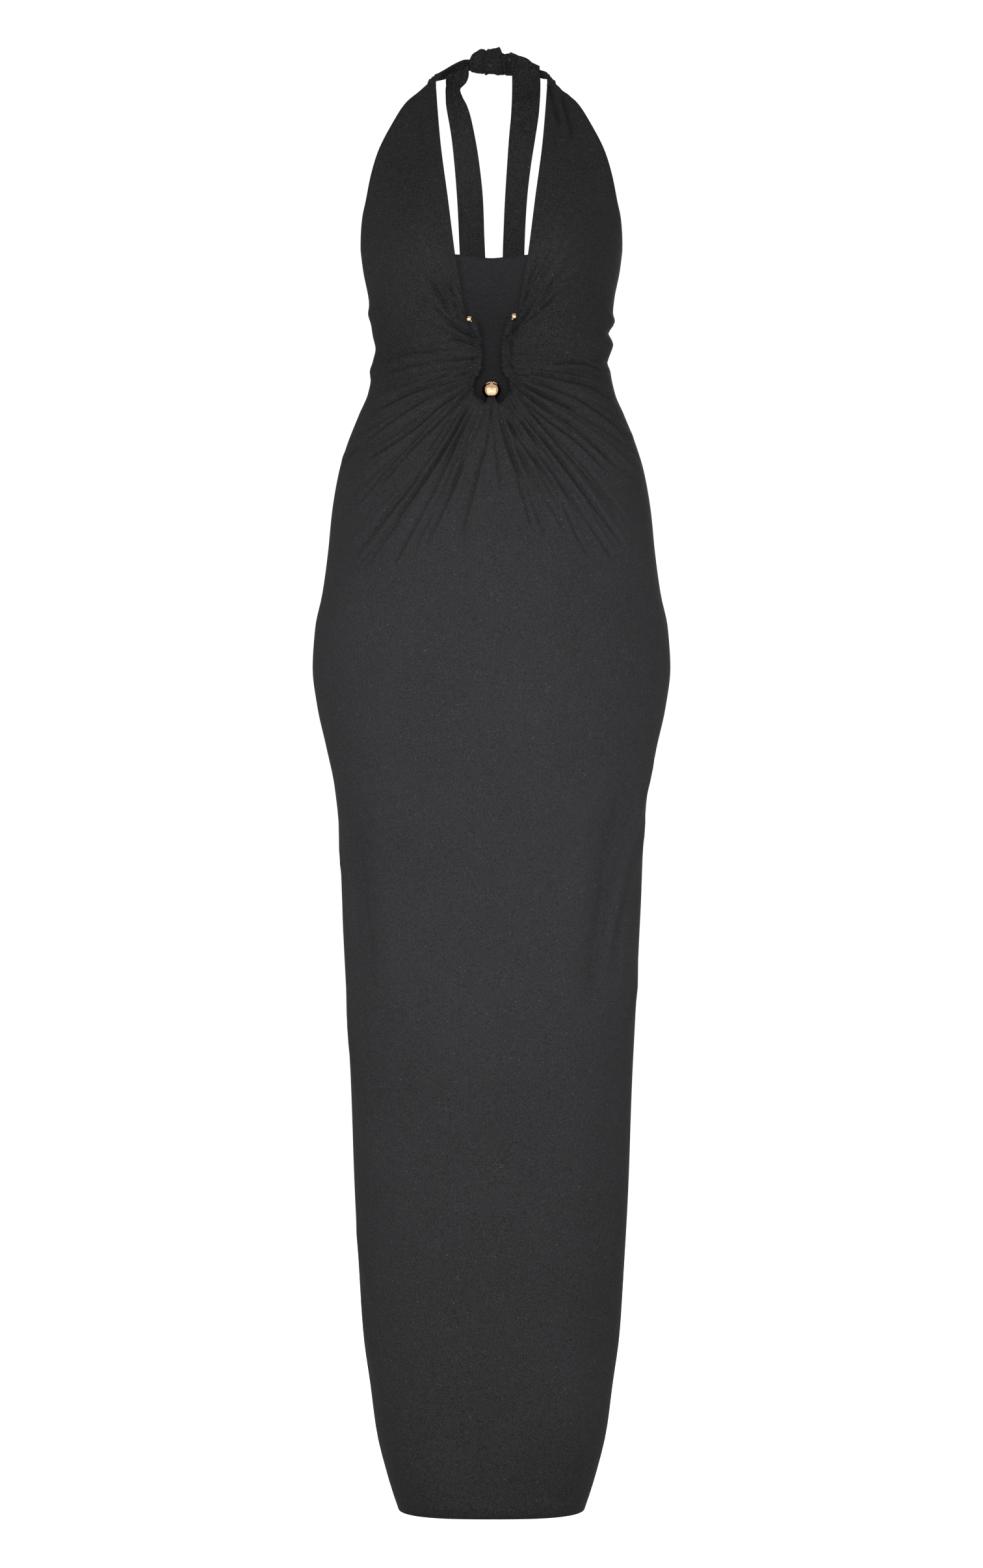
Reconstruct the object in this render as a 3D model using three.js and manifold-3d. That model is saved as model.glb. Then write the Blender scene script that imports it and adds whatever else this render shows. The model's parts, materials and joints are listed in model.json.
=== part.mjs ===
// A black jersey halterneck maxi dress with a plunge front, standing out in the shape that it is worn in.
// The front is one panel from the hem to both sides of the neck. Its deep plunge ends in a lyre-shaped keyhole,
// where the cloth is gathered onto a casing that runs round a curved metal bar with a ball at each tip and a
// large one at the bottom. Folds fan out from the casing over the bust, waist and hips. The back is one panel
// that ends below the shoulder blades. Two ties go round the neck, are knotted at the nape, and hang down behind.
// Millimetres: x runs across (the wearer's left is +x), y from front to back, z up. The origin is at the nape,
// on the inner face of the knot, where the neck holds the dress up.
import * as THREE from 'three';
import { mergeVertices } from 'three/addons/utils/BufferGeometryUtils.js';
import Module from 'manifold-3d';

// Driving dimensions
const WALL = 1.8;                 // jersey as a wall
const SEAM_GAP = 0.3;             // between pieces that are sewn together
const HEM_Z = -1475;
const UNDERARM_Z = -200;          // top of the side seams
const FAN_FOOT_Z = -560;          // below this the folds from the keyhole have died out
const CASING_HALF_WIDTH = 4.9;
const CASING_HALF_DEPTH = 3.7;
const CASING_BORE = 2.1;          // radius of the channel that the bar runs in
const CASING_REST = { wider: 2.2, along: 15 };   // it is wider at the bottom, where the centre ball rests
const CASING_TOP = 106;           // along the panel's edge from the bottom of the keyhole
const RUCHE_PITCH = 7;
const RUCHE_DEPTH = 0.8;
const CASING_CORNERS = 8;
const BAR_RADIUS = 1.3;
const TIP_BALL_RADIUS = 2.8;
const CENTRE_BALL_RADIUS = 9;
const CENTRE_BALL_Z = -352.4;
const TIE_THICKNESS = 2.4;        // two layers, seamed along one edge

// The worn form at each height: half its width, its foremost and rearmost y, the y of the side seam,
// and how square the section is (2 is an ellipse).
const SECTIONS = [
  { z: -1475, halfWidth: 95, front: -160, back: 8, side: -76, square: 2.8 },
  { z: -1440, halfWidth: 106, front: -163, back: 11, side: -76, square: 2.7 },
  { z: -1398, halfWidth: 116.5, front: -166, back: 14, side: -76, square: 2.6 },
  { z: -1350, halfWidth: 123, front: -168, back: 16, side: -76, square: 2.5 },
  { z: -1300, halfWidth: 130, front: -170, back: 18, side: -76, square: 2.4 },
  { z: -1250, halfWidth: 133.5, front: -172, back: 20, side: -76, square: 2.35 },
  { z: -1150, halfWidth: 139, front: -174, back: 23, side: -76, square: 2.3 },
  { z: -1050, halfWidth: 142.5, front: -176, back: 26, side: -76, square: 2.3 },
  { z: -950, halfWidth: 147.5, front: -179, back: 29, side: -76, square: 2.3 },
  { z: -855, halfWidth: 152, front: -182, back: 32, side: -75, square: 2.25 },
  { z: -785, halfWidth: 155, front: -184, back: 37, side: -74, square: 2.2 },
  { z: -745, halfWidth: 159.5, front: -186, back: 42, side: -72, square: 2.2 },
  { z: -705, halfWidth: 168, front: -188, back: 47, side: -70, square: 2.15 },
  { z: -665, halfWidth: 177, front: -189, back: 52, side: -68, square: 2.1 },
  { z: -625, halfWidth: 182, front: -190, back: 55, side: -66, square: 2.1 },
  { z: -585, halfWidth: 179.5, front: -191, back: 55, side: -66, square: 2.1 },
  { z: -547, halfWidth: 171.5, front: -192, back: 52, side: -68, square: 2.1 },
  { z: -507, halfWidth: 166, front: -192, back: 45, side: -70, square: 2.1 },
  { z: -468, halfWidth: 162, front: -191, back: 36, side: -73, square: 2.1 },
  { z: -428, halfWidth: 155, front: -188, back: 25, side: -77, square: 2.1 },
  { z: -400, halfWidth: 146.5, front: -185, back: 15, side: -81, square: 2.1 },
  { z: -369, halfWidth: 134, front: -181, back: 7, side: -85, square: 2.1 },
  { z: -348, halfWidth: 125, front: -179, back: 2, side: -87, square: 2.1 },
  { z: -324, halfWidth: 120.5, front: -178, back: 0, side: -88, square: 2.1 },
  { z: -300, halfWidth: 120, front: -179, back: 2, side: -87, square: 2.1 },
  { z: -276, halfWidth: 122, front: -180, back: 7, side: -86, square: 2.15 },
  { z: -252, halfWidth: 124.5, front: -180, back: 14, side: -84, square: 2.2 },
  { z: -224, halfWidth: 130, front: -180, back: 22, side: -82, square: 2.3 },
  { z: -200, halfWidth: 133, front: -178, back: 28, side: -80, square: 2.4 },
  { z: -158, halfWidth: 137, front: -168, back: 34, side: -77, square: 2.4 },
  { z: -131, halfWidth: 140, front: -155, back: 34, side: -74, square: 2.4 },
  { z: -105, halfWidth: 142, front: -138, back: 32, side: -71, square: 2.3 },
  { z: -78, halfWidth: 140, front: -116, back: 28, side: -66, square: 2.3 },
  { z: -52, halfWidth: 132, front: -91, back: 20, side: -56, square: 2.3 },
  { z: -39, halfWidth: 126, front: -77, back: 14, side: -47, square: 2.3 },
  { z: -28, halfWidth: 118, front: -63, back: 8, side: -36, square: 2.3 },
];

// The two bust cups push the front out round these points.
const CUP = { x: 72, z: -210, forward: 27, acrossIn: 30, acrossOut: 36, above: 50, below: 40 };

// Half of the front panel's inner edge, from the bottom of the keyhole up the plunge to the neck.
const PLUNGE_EDGE = [
  { x: 0, z: -376 }, { x: 10, z: -373.8 }, { x: 19, z: -367 }, { x: 25.4, z: -358 }, { x: 27.6, z: -348 },
  { x: 25, z: -338.5 }, { x: 20.8, z: -330.5 }, { x: 19, z: -321 }, { x: 19, z: -310 }, { x: 20.5, z: -298 },
  { x: 23.4, z: -287 }, { x: 25.6, z: -279 }, { x: 30, z: -255 }, { x: 33.4, z: -235 }, { x: 36, z: -218 },
  { x: 39.6, z: -190 }, { x: 43.6, z: -158 }, { x: 47.4, z: -130 }, { x: 50.6, z: -104 }, { x: 53.2, z: -76 },
  { x: 55.2, z: -50 }, { x: 56.6, z: -30 },
];

// Half of its outer edge, from the underarm up to the neck.
const ARMHOLE_EDGE = [
  { x: 132.9, z: -200 }, { x: 131.8, z: -184 }, { x: 130, z: -171 }, { x: 126.8, z: -158 },
  { x: 121.5, z: -132 }, { x: 114, z: -106 }, { x: 101.5, z: -79 }, { x: 87, z: -53 }, { x: 74, z: -40 },
  { x: 65, z: -30 },
];

// The folds that fan out from the casing, from the bottom of the keyhole upwards. Each starts that far along the
// panel's edge and heads for a place on the fan's foot (an x), the side seam or the armhole edge (a z).
// bow is how far it bulges to its upper side, reach the share of the way that it lasts.
const FOLDS = {
  right: [ // the wearer's right, -x
    { from: 2, to: 'foot', at: 46, bow: 2, reach: 0.7, depth: 2.2, width: 3.4 },
    { from: 8, to: 'foot', at: 88, bow: 3, reach: 0.74, depth: 2.4, width: 3.8 },
    { from: 14, to: 'foot', at: 103, bow: 2, reach: 0.8, depth: 2.8, width: 4.2 },
    { from: 20, to: 'foot', at: 121, bow: 1, reach: 0.84, depth: 3.0, width: 4.2 },
    { from: 25, to: 'foot', at: 146, bow: 0, reach: 0.86, depth: 3.2, width: 4.6 },
    { from: 30, to: 'foot', at: 163, bow: 0, reach: 0.8, depth: 3.2, width: 4.8 },
    { from: 35, to: 'side', at: -500, bow: 2, reach: 0.9, depth: 2.6, width: 4.2 },
    { from: 40, to: 'side', at: -432, bow: 1, reach: 0.95, depth: 2.4, width: 4.0 },
    { from: 45, to: 'side', at: -410, bow: 5, reach: 1.0, depth: 2.8, width: 3.8 },
    { from: 51, to: 'side', at: -376, bow: 3, reach: 1.0, depth: 2.4, width: 3.6 },
    { from: 57, to: 'side', at: -362, bow: 5, reach: 0.95, depth: 2.2, width: 3.4 },
    { from: 64, to: 'side', at: -345, bow: 3, reach: 0.9, depth: 2.0, width: 3.4 },
    { from: 72, to: 'side', at: -332, bow: 5, reach: 0.95, depth: 2.4, width: 4.2 },
    { from: 81, to: 'side', at: -318, bow: 5, reach: 1.0, depth: 2.2, width: 4.4 },
    { from: 88, to: 'side', at: -268, bow: 0, reach: 0.45, depth: 1.6, width: 3.6 },
    { from: 94, to: 'side', at: -216, bow: -2, reach: 0.6, depth: 2.2, width: 4.0 },
    { from: 100, to: 'arm', at: -163, bow: -3, reach: 0.62, depth: 2.4, width: 4.0 },
    { from: 107, to: 'arm', at: -136, bow: -4, reach: 0.5, depth: 2.2, width: 3.8 },
    { from: 116, to: 'arm', at: -84, bow: -4, reach: 0.34, depth: 1.6, width: 3.4 },
  ],
  left: [ // the wearer's left, +x
    { from: 3, to: 'foot', at: 24, bow: 1, reach: 0.5, depth: 2.0, width: 3.2 },
    { from: 9, to: 'foot', at: 62, bow: 2, reach: 0.66, depth: 2.6, width: 4.0 },
    { from: 14, to: 'foot', at: 80, bow: 4, reach: 0.7, depth: 2.2, width: 3.6 },
    { from: 19, to: 'foot', at: 112, bow: 4, reach: 0.74, depth: 3.0, width: 4.2 },
    { from: 24, to: 'foot', at: 130, bow: 6, reach: 0.8, depth: 3.2, width: 4.4 },
    { from: 29, to: 'foot', at: 152, bow: 9, reach: 0.84, depth: 3.2, width: 4.6 },
    { from: 34, to: 'foot', at: 168, bow: 11, reach: 0.84, depth: 2.8, width: 4.6 },
    { from: 39, to: 'side', at: -478, bow: 7, reach: 0.8, depth: 2.6, width: 4.2 },
    { from: 44, to: 'side', at: -432, bow: 10, reach: 1.0, depth: 3.2, width: 4.4 },
    { from: 50, to: 'side', at: -396, bow: 11, reach: 1.0, depth: 2.8, width: 4.2 },
    { from: 56, to: 'side', at: -362, bow: 8, reach: 0.95, depth: 2.6, width: 3.8 },
    { from: 62, to: 'side', at: -346, bow: 4, reach: 0.95, depth: 2.2, width: 3.6 },
    { from: 70, to: 'side', at: -318, bow: 3, reach: 1.0, depth: 3.0, width: 4.2 },
    { from: 80, to: 'side', at: -288, bow: 2, reach: 0.4, depth: 1.4, width: 3.6 },
    { from: 89, to: 'side', at: -250, bow: 0, reach: 0.4, depth: 1.8, width: 3.6 },
    { from: 95, to: 'side', at: -204, bow: -2, reach: 0.6, depth: 2.6, width: 4.0 },
    { from: 101, to: 'arm', at: -163, bow: -3, reach: 0.68, depth: 2.8, width: 4.0 },
    { from: 108, to: 'arm', at: -106, bow: -4, reach: 0.56, depth: 2.4, width: 3.6 },
    { from: 118, to: 'arm', at: -56, bow: -3, reach: 0.4, depth: 2.0, width: 3.4 },
  ],
};

// Rolls round the waist at each side seam: how far each stands out, and how far it runs round the side,
// as a share of a quarter of the way round. side is -1 for the wearer's right.
const SIDE_ROLLS = [
  { side: 1, z: -275, out: 2.8, height: 5.5, round: 0.4 },
  { side: 1, z: -287, out: -2.6, height: 4.5, round: 0.5 },
  { side: 1, z: -299, out: 3.2, height: 6.5, round: 0.45 },
  { side: 1, z: -317, out: -3.0, height: 6.0, round: 0.5 },
  { side: -1, z: -268, out: 2.2, height: 7.0, round: 0.4 },
  { side: -1, z: -303, out: -2.6, height: 9.0, round: 0.5 },
  { side: -1, z: -326, out: 2.6, height: 7.0, round: 0.45 },
];

// Shallow rolls across the hollow of the back. across is where each is centred, from -1 to 1 between the side
// seams, and tilt how much it drops towards the wearer's left.
const BACK_ROLLS = [
  { z: -262, across: -0.15, spread: 0.5, out: -1.6, height: 6, tilt: 6 },
  { z: -286, across: 0.1, spread: 0.62, out: 2.4, height: 8, tilt: -5 },
  { z: -304, across: -0.1, spread: 0.66, out: -2.6, height: 6, tilt: 8 },
  { z: -322, across: 0.12, spread: 0.6, out: 2.4, height: 8, tilt: -4 },
  { z: -343, across: 0, spread: 0.55, out: -2.0, height: 7, tilt: 5 },
];

// Long soft drags down the skirt, as ridges (out) or troughs from one place to another. across runs round the
// skirt: 0 is the centre front, -1 and 1 the side seams, 2 the centre back.
const SKIRT_DRAGS = [
  { fromAcross: -0.98, fromZ: -790, toAcross: -0.62, toZ: -960, out: 1.9, width: 7 },
  { fromAcross: -0.93, fromZ: -830, toAcross: -0.5, toZ: -1040, out: -1.8, width: 14 },
  { fromAcross: -0.97, fromZ: -960, toAcross: -0.6, toZ: -1180, out: 1.9, width: 8 },
  { fromAcross: -0.95, fromZ: -1190, toAcross: -0.62, toZ: -1290, out: 1.6, width: 8 },
  { fromAcross: -0.9, fromZ: -1260, toAcross: -0.66, toZ: -1380, out: 1.5, width: 8 },
  { fromAcross: 0.98, fromZ: -715, toAcross: 0.62, toZ: -830, out: 2.3, width: 9 },
  { fromAcross: 0.99, fromZ: -770, toAcross: 0.58, toZ: -900, out: 2.0, width: 7 },
  { fromAcross: 0.9, fromZ: -800, toAcross: 0.5, toZ: -980, out: -1.8, width: 14 },
  { fromAcross: 0.97, fromZ: -930, toAcross: 0.62, toZ: -1050, out: 1.8, width: 8 },
  { fromAcross: 0.8, fromZ: -1000, toAcross: 0.55, toZ: -1250, out: -1.6, width: 16 },
  { fromAcross: 1.5, fromZ: -690, toAcross: 1.75, toZ: -860, out: -2.2, width: 12 },
  { fromAcross: -1.5, fromZ: -700, toAcross: -1.72, toZ: -880, out: -2.2, width: 12 },
  { fromAcross: 1.9, fromZ: -760, toAcross: 1.84, toZ: -1150, out: 2.0, width: 15 },
  { fromAcross: -1.62, fromZ: -900, toAcross: -1.5, toZ: -1300, out: -1.8, width: 15 },
  { fromAcross: 1.45, fromZ: -960, toAcross: 1.6, toZ: -1350, out: -1.8, width: 15 },
];

// The back panel's top edge, from the centre back (0) to the side seam (1).
const BACK_TOP_EDGE = [
  { across: 0, z: -197.5 }, { across: 0.28, z: -193.5 }, { across: 0.65, z: -194.5 }, { across: 1, z: -200 },
];

// The ties from the panels' tops round the neck to the knot. lean is the angle, in degrees, that the strip's
// width makes with the upright, its upper edge inwards.
const TIE_PATHS = {
  right: [
    { x: -60.8, y: -61.5, z: -29.2, width: 8.4, lean: 86 },
    { x: -60.7, y: -55.2, z: -26.6, width: 9, lean: 70 },
    { x: -59.6, y: -46, z: -22.6, width: 10, lean: 48 },
    { x: -56.4, y: -29, z: -20.2, width: 10.5, lean: 42 },
    { x: -49.5, y: -13.5, z: -15.6, width: 11.5, lean: 36 },
    { x: -40, y: -4.6, z: -9.6, width: 14, lean: 28 },
    { x: -31, y: -0.4, z: -4.8, width: 15.5, lean: 18 },
    { x: -23.2, y: 2.3, z: -1.2, width: 12, lean: 4 },
  ],
  left: [
    { x: 60.8, y: -61.5, z: -29.2, width: 8.4, lean: 86 },
    { x: 60.7, y: -55.2, z: -25.8, width: 9, lean: 70 },
    { x: 59.6, y: -46, z: -21, width: 10, lean: 48 },
    { x: 56.6, y: -29, z: -16.4, width: 10.5, lean: 42 },
    { x: 49.5, y: -13.5, z: -12.2, width: 11.5, lean: 36 },
    { x: 40, y: -4.6, z: -8, width: 14, lean: 28 },
    { x: 29, y: 0.6, z: -3, width: 16, lean: 16 },
    { x: 15.7, y: 5.8, z: 0.4, width: 15, lean: 3 },
  ],
};

// The loose ends, down the back from the knot, across the inner face of the ties. turn is the angle about the
// upright that the strip faces and tip how far it falls towards the wearer's left, both in degrees, and hollow
// how far its middle stands off its edges.
const TAIL_PATHS = {
  right: [
    { x: -28.2, y: -6.6, z: -3.4, width: 17, turn: -42, tip: -26, hollow: 0.6 },
    { x: -34.6, y: -14, z: -9.6, width: 26, turn: -34, tip: -24, hollow: 1.4 },
    { x: -37.4, y: -14.6, z: -17, width: 22.5, turn: -34, tip: -12, hollow: 2.2 },
    { x: -39.8, y: -11.5, z: -26, width: 17.5, turn: -34, tip: 0, hollow: 2.6 },
    { x: -38.6, y: -4.5, z: -34, width: 19, turn: -24, tip: 0, hollow: 1.8 },
    { x: -36.2, y: 1.6, z: -42, width: 22.4, turn: -15, tip: 0, hollow: 1.2 },
    { x: -33.4, y: 6.6, z: -53, width: 23.8, turn: -7, tip: 0, hollow: 0.8 },
    { x: -29.9, y: 13.6, z: -70, width: 24.4, turn: -3, tip: 0, hollow: 1 },
    { x: -26.2, y: 20.8, z: -95, width: 25.8, turn: 2, tip: 0, hollow: 1.2 },
    { x: -22.4, y: 27.6, z: -134, width: 27, turn: 0, tip: 0, hollow: 1.2 },
    { x: -20.6, y: 29.6, z: -175, width: 26.5, turn: -2, tip: 0, hollow: 0.8 },
    { x: -19.4, y: 30.1, z: -206, width: 26.5, turn: -3, tip: 0, hollow: 1 },
    { x: -19.6, y: 30.4, z: -252, width: 26.5, turn: -8, tip: 0, hollow: 2.2 },
    { x: -20.6, y: 29.4, z: -296, width: 26.5, turn: -6, tip: 0, hollow: 1.6 },
  ],
  left: [
    { x: 35.2, y: -17.6, z: 0.6, width: 30, turn: 22, tip: 30, hollow: 1.2 },
    { x: 35.6, y: -18.4, z: -8, width: 30.5, turn: 22, tip: 17, hollow: 1 },
    { x: 35.8, y: -17.2, z: -17, width: 31, turn: 21, tip: 5, hollow: 0.8 },
    { x: 35.8, y: -11.6, z: -27, width: 30.5, turn: 17, tip: 0, hollow: 0.8 },
    { x: 35.4, y: -0.5, z: -39, width: 29.5, turn: 10, tip: 0, hollow: 0.8 },
    { x: 34.4, y: 6.6, z: -53, width: 28.8, turn: 5, tip: 0, hollow: 0.9 },
    { x: 32, y: 15, z: -72, width: 27.6, turn: 3, tip: 0, hollow: 1.2 },
    { x: 28.4, y: 23.2, z: -103, width: 24.8, turn: 1, tip: 0, hollow: 1.2 },
    { x: 25.6, y: 28.2, z: -134, width: 23.2, turn: 0, tip: 0, hollow: 1 },
    { x: 23.6, y: 29.5, z: -172, width: 22.6, turn: 1, tip: 0, hollow: 0.8 },
    { x: 22.7, y: 30.1, z: -206, width: 22.6, turn: 3, tip: 0, hollow: 1 },
    { x: 22.8, y: 30.7, z: -258, width: 23.4, turn: 9, tip: 0, hollow: 2.2 },
    { x: 24, y: 29.8, z: -312, width: 24, turn: 8, tip: 0, hollow: 1.8 },
  ],
};

// The knot, as sections along x: how high it reaches above and below its middle, and how thick it is.
const KNOT = [
  { x: -22.4, y: 3.2, z: -0.4, up: 5.6, down: 5.8, thick: 6 },
  { x: -20.4, y: 5, z: 0.6, up: 9.4, down: 8.2, thick: 11.4 },
  { x: -15, y: 7.2, z: 1.6, up: 12.6, down: 10.4, thick: 14.4 },
  { x: -9, y: 8.2, z: 2, up: 13.8, down: 11.2, thick: 16.4 },
  { x: -4, y: 8.6, z: 2, up: 12.6, down: 11.3, thick: 17.2 },
  { x: 2, y: 8.8, z: 2, up: 13.9, down: 11.6, thick: 17.6 },
  { x: 7, y: 8.7, z: 1.8, up: 14.8, down: 12, thick: 17 },
  { x: 11, y: 8.2, z: 1.2, up: 12.4, down: 11, thick: 14 },
  { x: 14.8, y: 7.2, z: 0.6, up: 8.6, down: 8.6, thick: 9 },
];
const KNOT_WRAPS = 3;             // turns of cloth that show round it
const KNOT_WRAP_DEPTH = 0.9;

const QUARTER = Math.PI / 2;
const lerp = (a, b, t) => a + (b - a) * t;
const clamp = (v, low, high) => Math.min(high, Math.max(low, v));
const bell = (v, width) => Math.exp(-((v / width) ** 2));
const radians = THREE.MathUtils.degToRad;

function ease(low, high, v) {
  const t = clamp((v - low) / (high - low), 0, 1);
  return t * t * (3 - 2 * t);
}

// A smooth curve through one column of a table, that never overshoots its rows.
function column(rows, by, name) {
  const at = rows.map((r) => r[by]);
  const value = rows.map((r) => r[name]);
  const rise = at.slice(1).map((x, i) => (value[i + 1] - value[i]) / (x - at[i]));
  const slope = value.map((_, i) => {
    const before = rise[Math.max(0, i - 1)];
    const after = rise[Math.min(rise.length - 1, i)];
    return before * after <= 0 ? 0 : (2 * before * after) / (before + after);
  });
  return (x) => {
    const v = clamp(x, at[0], at[at.length - 1]);
    let i = 0;
    while (i < at.length - 2 && v > at[i + 1]) i += 1;
    const step = at[i + 1] - at[i];
    const t = (v - at[i]) / step;
    return (
      value[i] * (1 + 2 * t) * (1 - t) ** 2 +
      slope[i] * step * t * (1 - t) ** 2 +
      value[i + 1] * t * t * (3 - 2 * t) +
      slope[i + 1] * step * t * t * (t - 1)
    );
  };
}

const formAt = Object.fromEntries(
  ['halfWidth', 'front', 'back', 'side', 'square'].map((name) => [name, column(SECTIONS, 'z', name)]),
);

// A point of the worn form. across is 0 at the centre front, -1 and 1 at the side seams, 2 at the centre back.
function formPoint(across, z) {
  const angle = across * QUARTER;
  const front = Math.cos(angle) > 0;
  const side = formAt.side(z);
  const depth = front ? side - formAt.front(z) : formAt.back(z) - side;
  const power = formAt.square(z);
  const wide = Math.abs(Math.sin(angle) / formAt.halfWidth(z)) ** power;
  const deep = Math.abs(Math.cos(angle) / depth) ** power;
  const radius = (wide + deep) ** (-1 / power);
  const point = new THREE.Vector3(radius * Math.sin(angle), side - radius * Math.cos(angle), z);
  if (front) {
    const off = Math.abs(point.x) - CUP.x;
    const lift = z - CUP.z;
    point.y -= CUP.forward * (1 - across ** 4)
      * bell(off, Math.SQRT2 * (off < 0 ? CUP.acrossIn : CUP.acrossOut))
      * bell(lift, Math.SQRT2 * (lift > 0 ? CUP.above : CUP.below));
  }
  return point;
}

function formNormal(across, z) {
  const round = formPoint(across + 0.002, z).sub(formPoint(across - 0.002, z));
  const up = formPoint(across, z + 0.5).sub(formPoint(across, z - 0.5));
  return round.cross(up).normalize();
}

// How far round the front half an x lies, at a height.
function acrossAt(x, z) {
  let low = 0;
  let high = 1;
  for (let i = 0; i < 30; i += 1) {
    const middle = (low + high) / 2;
    if (formPoint(middle, z).x < Math.abs(x)) low = middle;
    else high = middle;
  }
  return Math.sign(x) * (low + high) / 2;
}

// How far the cloth stands off the form, apart from the fan of folds.
function drape(across, z) {
  let out = 0;
  for (const roll of SIDE_ROLLS) {
    const round = Math.abs(across - roll.side);
    if (round < roll.round) out += roll.out * bell(z - roll.z, roll.height) * (1 - ease(0.1, roll.round, round));
  }
  const behind = across > 0 ? across - 2 : across + 2;
  if (Math.abs(behind) < 1) {
    for (const roll of BACK_ROLLS) {
      const off = behind - roll.across;
      out += roll.out * bell(z - roll.z + roll.tilt * off, roll.height) * (1 - ease(0.3, 1, Math.abs(off) / roll.spread));
    }
  }
  for (const drag of SKIRT_DRAGS) {
    const along = (z - drag.fromZ) / (drag.toZ - drag.fromZ);
    if (along < -0.1 || along > 1.1) continue;
    const middle = lerp(drag.fromAcross, drag.toAcross, along);
    const off = (across - middle) * formAt.halfWidth(z) * 1.25;
    out += drag.out * bell(off, drag.width) * ease(-0.1, 0.25, along) * (1 - ease(0.55, 1.1, along));
  }
  return out;
}

// A curve through the rows of an edge table, by distance along it.
function edgeCurve(rows) {
  const curve = new THREE.CatmullRomCurve3(rows.map((r) => new THREE.Vector3(r.x, 0, r.z)), false, 'centripetal');
  curve.arcLengthDivisions = 600;
  const length = curve.getLength();
  return { length, at: (distance) => curve.getPointAt(clamp(distance / length, 0, 1)) };
}

const plunge = edgeCurve(PLUNGE_EDGE);
const armhole = edgeCurve(ARMHOLE_EDGE);
const SEAM_SHARE = SEAM_GAP / 2 / 200;   // half a seam gap, as a share of a quarter of the way round

// A place on the front is its across and z. This one is on the plunge edge.
function onPlunge(distance, side) {
  const p = plunge.at(distance);
  return { across: side * acrossAt(p.x, p.z), z: p.z };
}

// The front's outline, by distance from the middle of the fan's foot: out along the foot, up the side seam and
// up the armhole edge to the neck.
const FOOT_LENGTH = formAt.halfWidth(FAN_FOOT_Z);
const SIDE_LENGTH = UNDERARM_Z - FAN_FOOT_Z;
const OUTLINE_LENGTH = FOOT_LENGTH + SIDE_LENGTH + armhole.length;

function onOutline(distance, side) {
  if (distance <= FOOT_LENGTH) {
    const across = Math.min(1 - SEAM_SHARE, acrossAt(distance, FAN_FOOT_Z));
    return { across: side * across, z: FAN_FOOT_Z };
  }
  if (distance <= FOOT_LENGTH + SIDE_LENGTH) {
    return { across: side * (1 - SEAM_SHARE), z: FAN_FOOT_Z + distance - FOOT_LENGTH };
  }
  const p = armhole.at(distance - FOOT_LENGTH - SIDE_LENGTH);
  return { across: side * Math.min(1 - SEAM_SHARE, acrossAt(p.x, p.z)), z: p.z };
}

function outlineDistance(fold) {
  if (fold.to === 'foot') return fold.at;
  if (fold.to === 'side') return FOOT_LENGTH + fold.at - FAN_FOOT_Z;
  let distance = 0;
  while (armhole.at(distance).z < fold.at) distance += 1;
  return FOOT_LENGTH + SIDE_LENGTH + distance;
}

// The lines of one half of the fan, in order round the keyhole: the centre front, the folds, the corner between
// the foot and the side seam, and a few plain ones above the folds.
const PLAIN_LINES = [
  { edge: 0.1, outline: 0.3 }, { edge: 0.26, outline: 0.5 }, { edge: 0.46, outline: 0.68 },
  { edge: 0.72, outline: 0.84 }, { edge: 1, outline: 1 },
];

function fanLines(side) {
  const plain = { bow: 0, reach: 0.5, depth: 0, width: 4 };
  const lines = (side < 0 ? FOLDS.right : FOLDS.left).map((fold) => ({ ...fold, end: outlineDistance(fold) }));
  const corner = lines.findIndex((fold) => fold.to === 'side');
  const from = (lines[corner - 1].from + lines[corner].from) / 2;
  lines.splice(corner, 0, { ...plain, from, end: FOOT_LENGTH });
  const last = lines[lines.length - 1];
  for (const row of PLAIN_LINES) {
    lines.push({
      ...plain,
      from: lerp(last.from, plunge.length, row.edge),
      end: lerp(last.end, OUTLINE_LENGTH, row.outline),
    });
  }
  return [{ ...plain, from: 0, end: 0 }, ...lines];
}

// Where a line of the fan runs: straight on the unrolled front but for its bow.
const UNROLLED_QUARTER = 200;
function foldLine(line, side) {
  const start = onPlunge(line.from, side);
  const end = onOutline(line.end, side);
  const run = side * (end.across - start.across) * UNROLLED_QUARTER;
  const rise = end.z - start.z;
  const length = Math.hypot(run, rise);
  return (u) => {
    const lift = line.bow * 4 * u * (1 - u);
    return {
      across: lerp(start.across, end.across, u) - side * (rise / length) * (lift / UNROLLED_QUARTER),
      z: lerp(start.z, end.z, u) + (run / length) * lift,
    };
  };
}

// How deep a fold is at a share of its way.
const foldDepth = (line, u) => line.depth * (0.5 + 0.5 * ease(0, 0.12, u)) * (1 - ease(line.reach * 0.5, line.reach, u));

const FAN_RINGS = [0, 0.04, 0.1, 0.19, 0.31, 0.46, 0.63, 0.81, 1];

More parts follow.
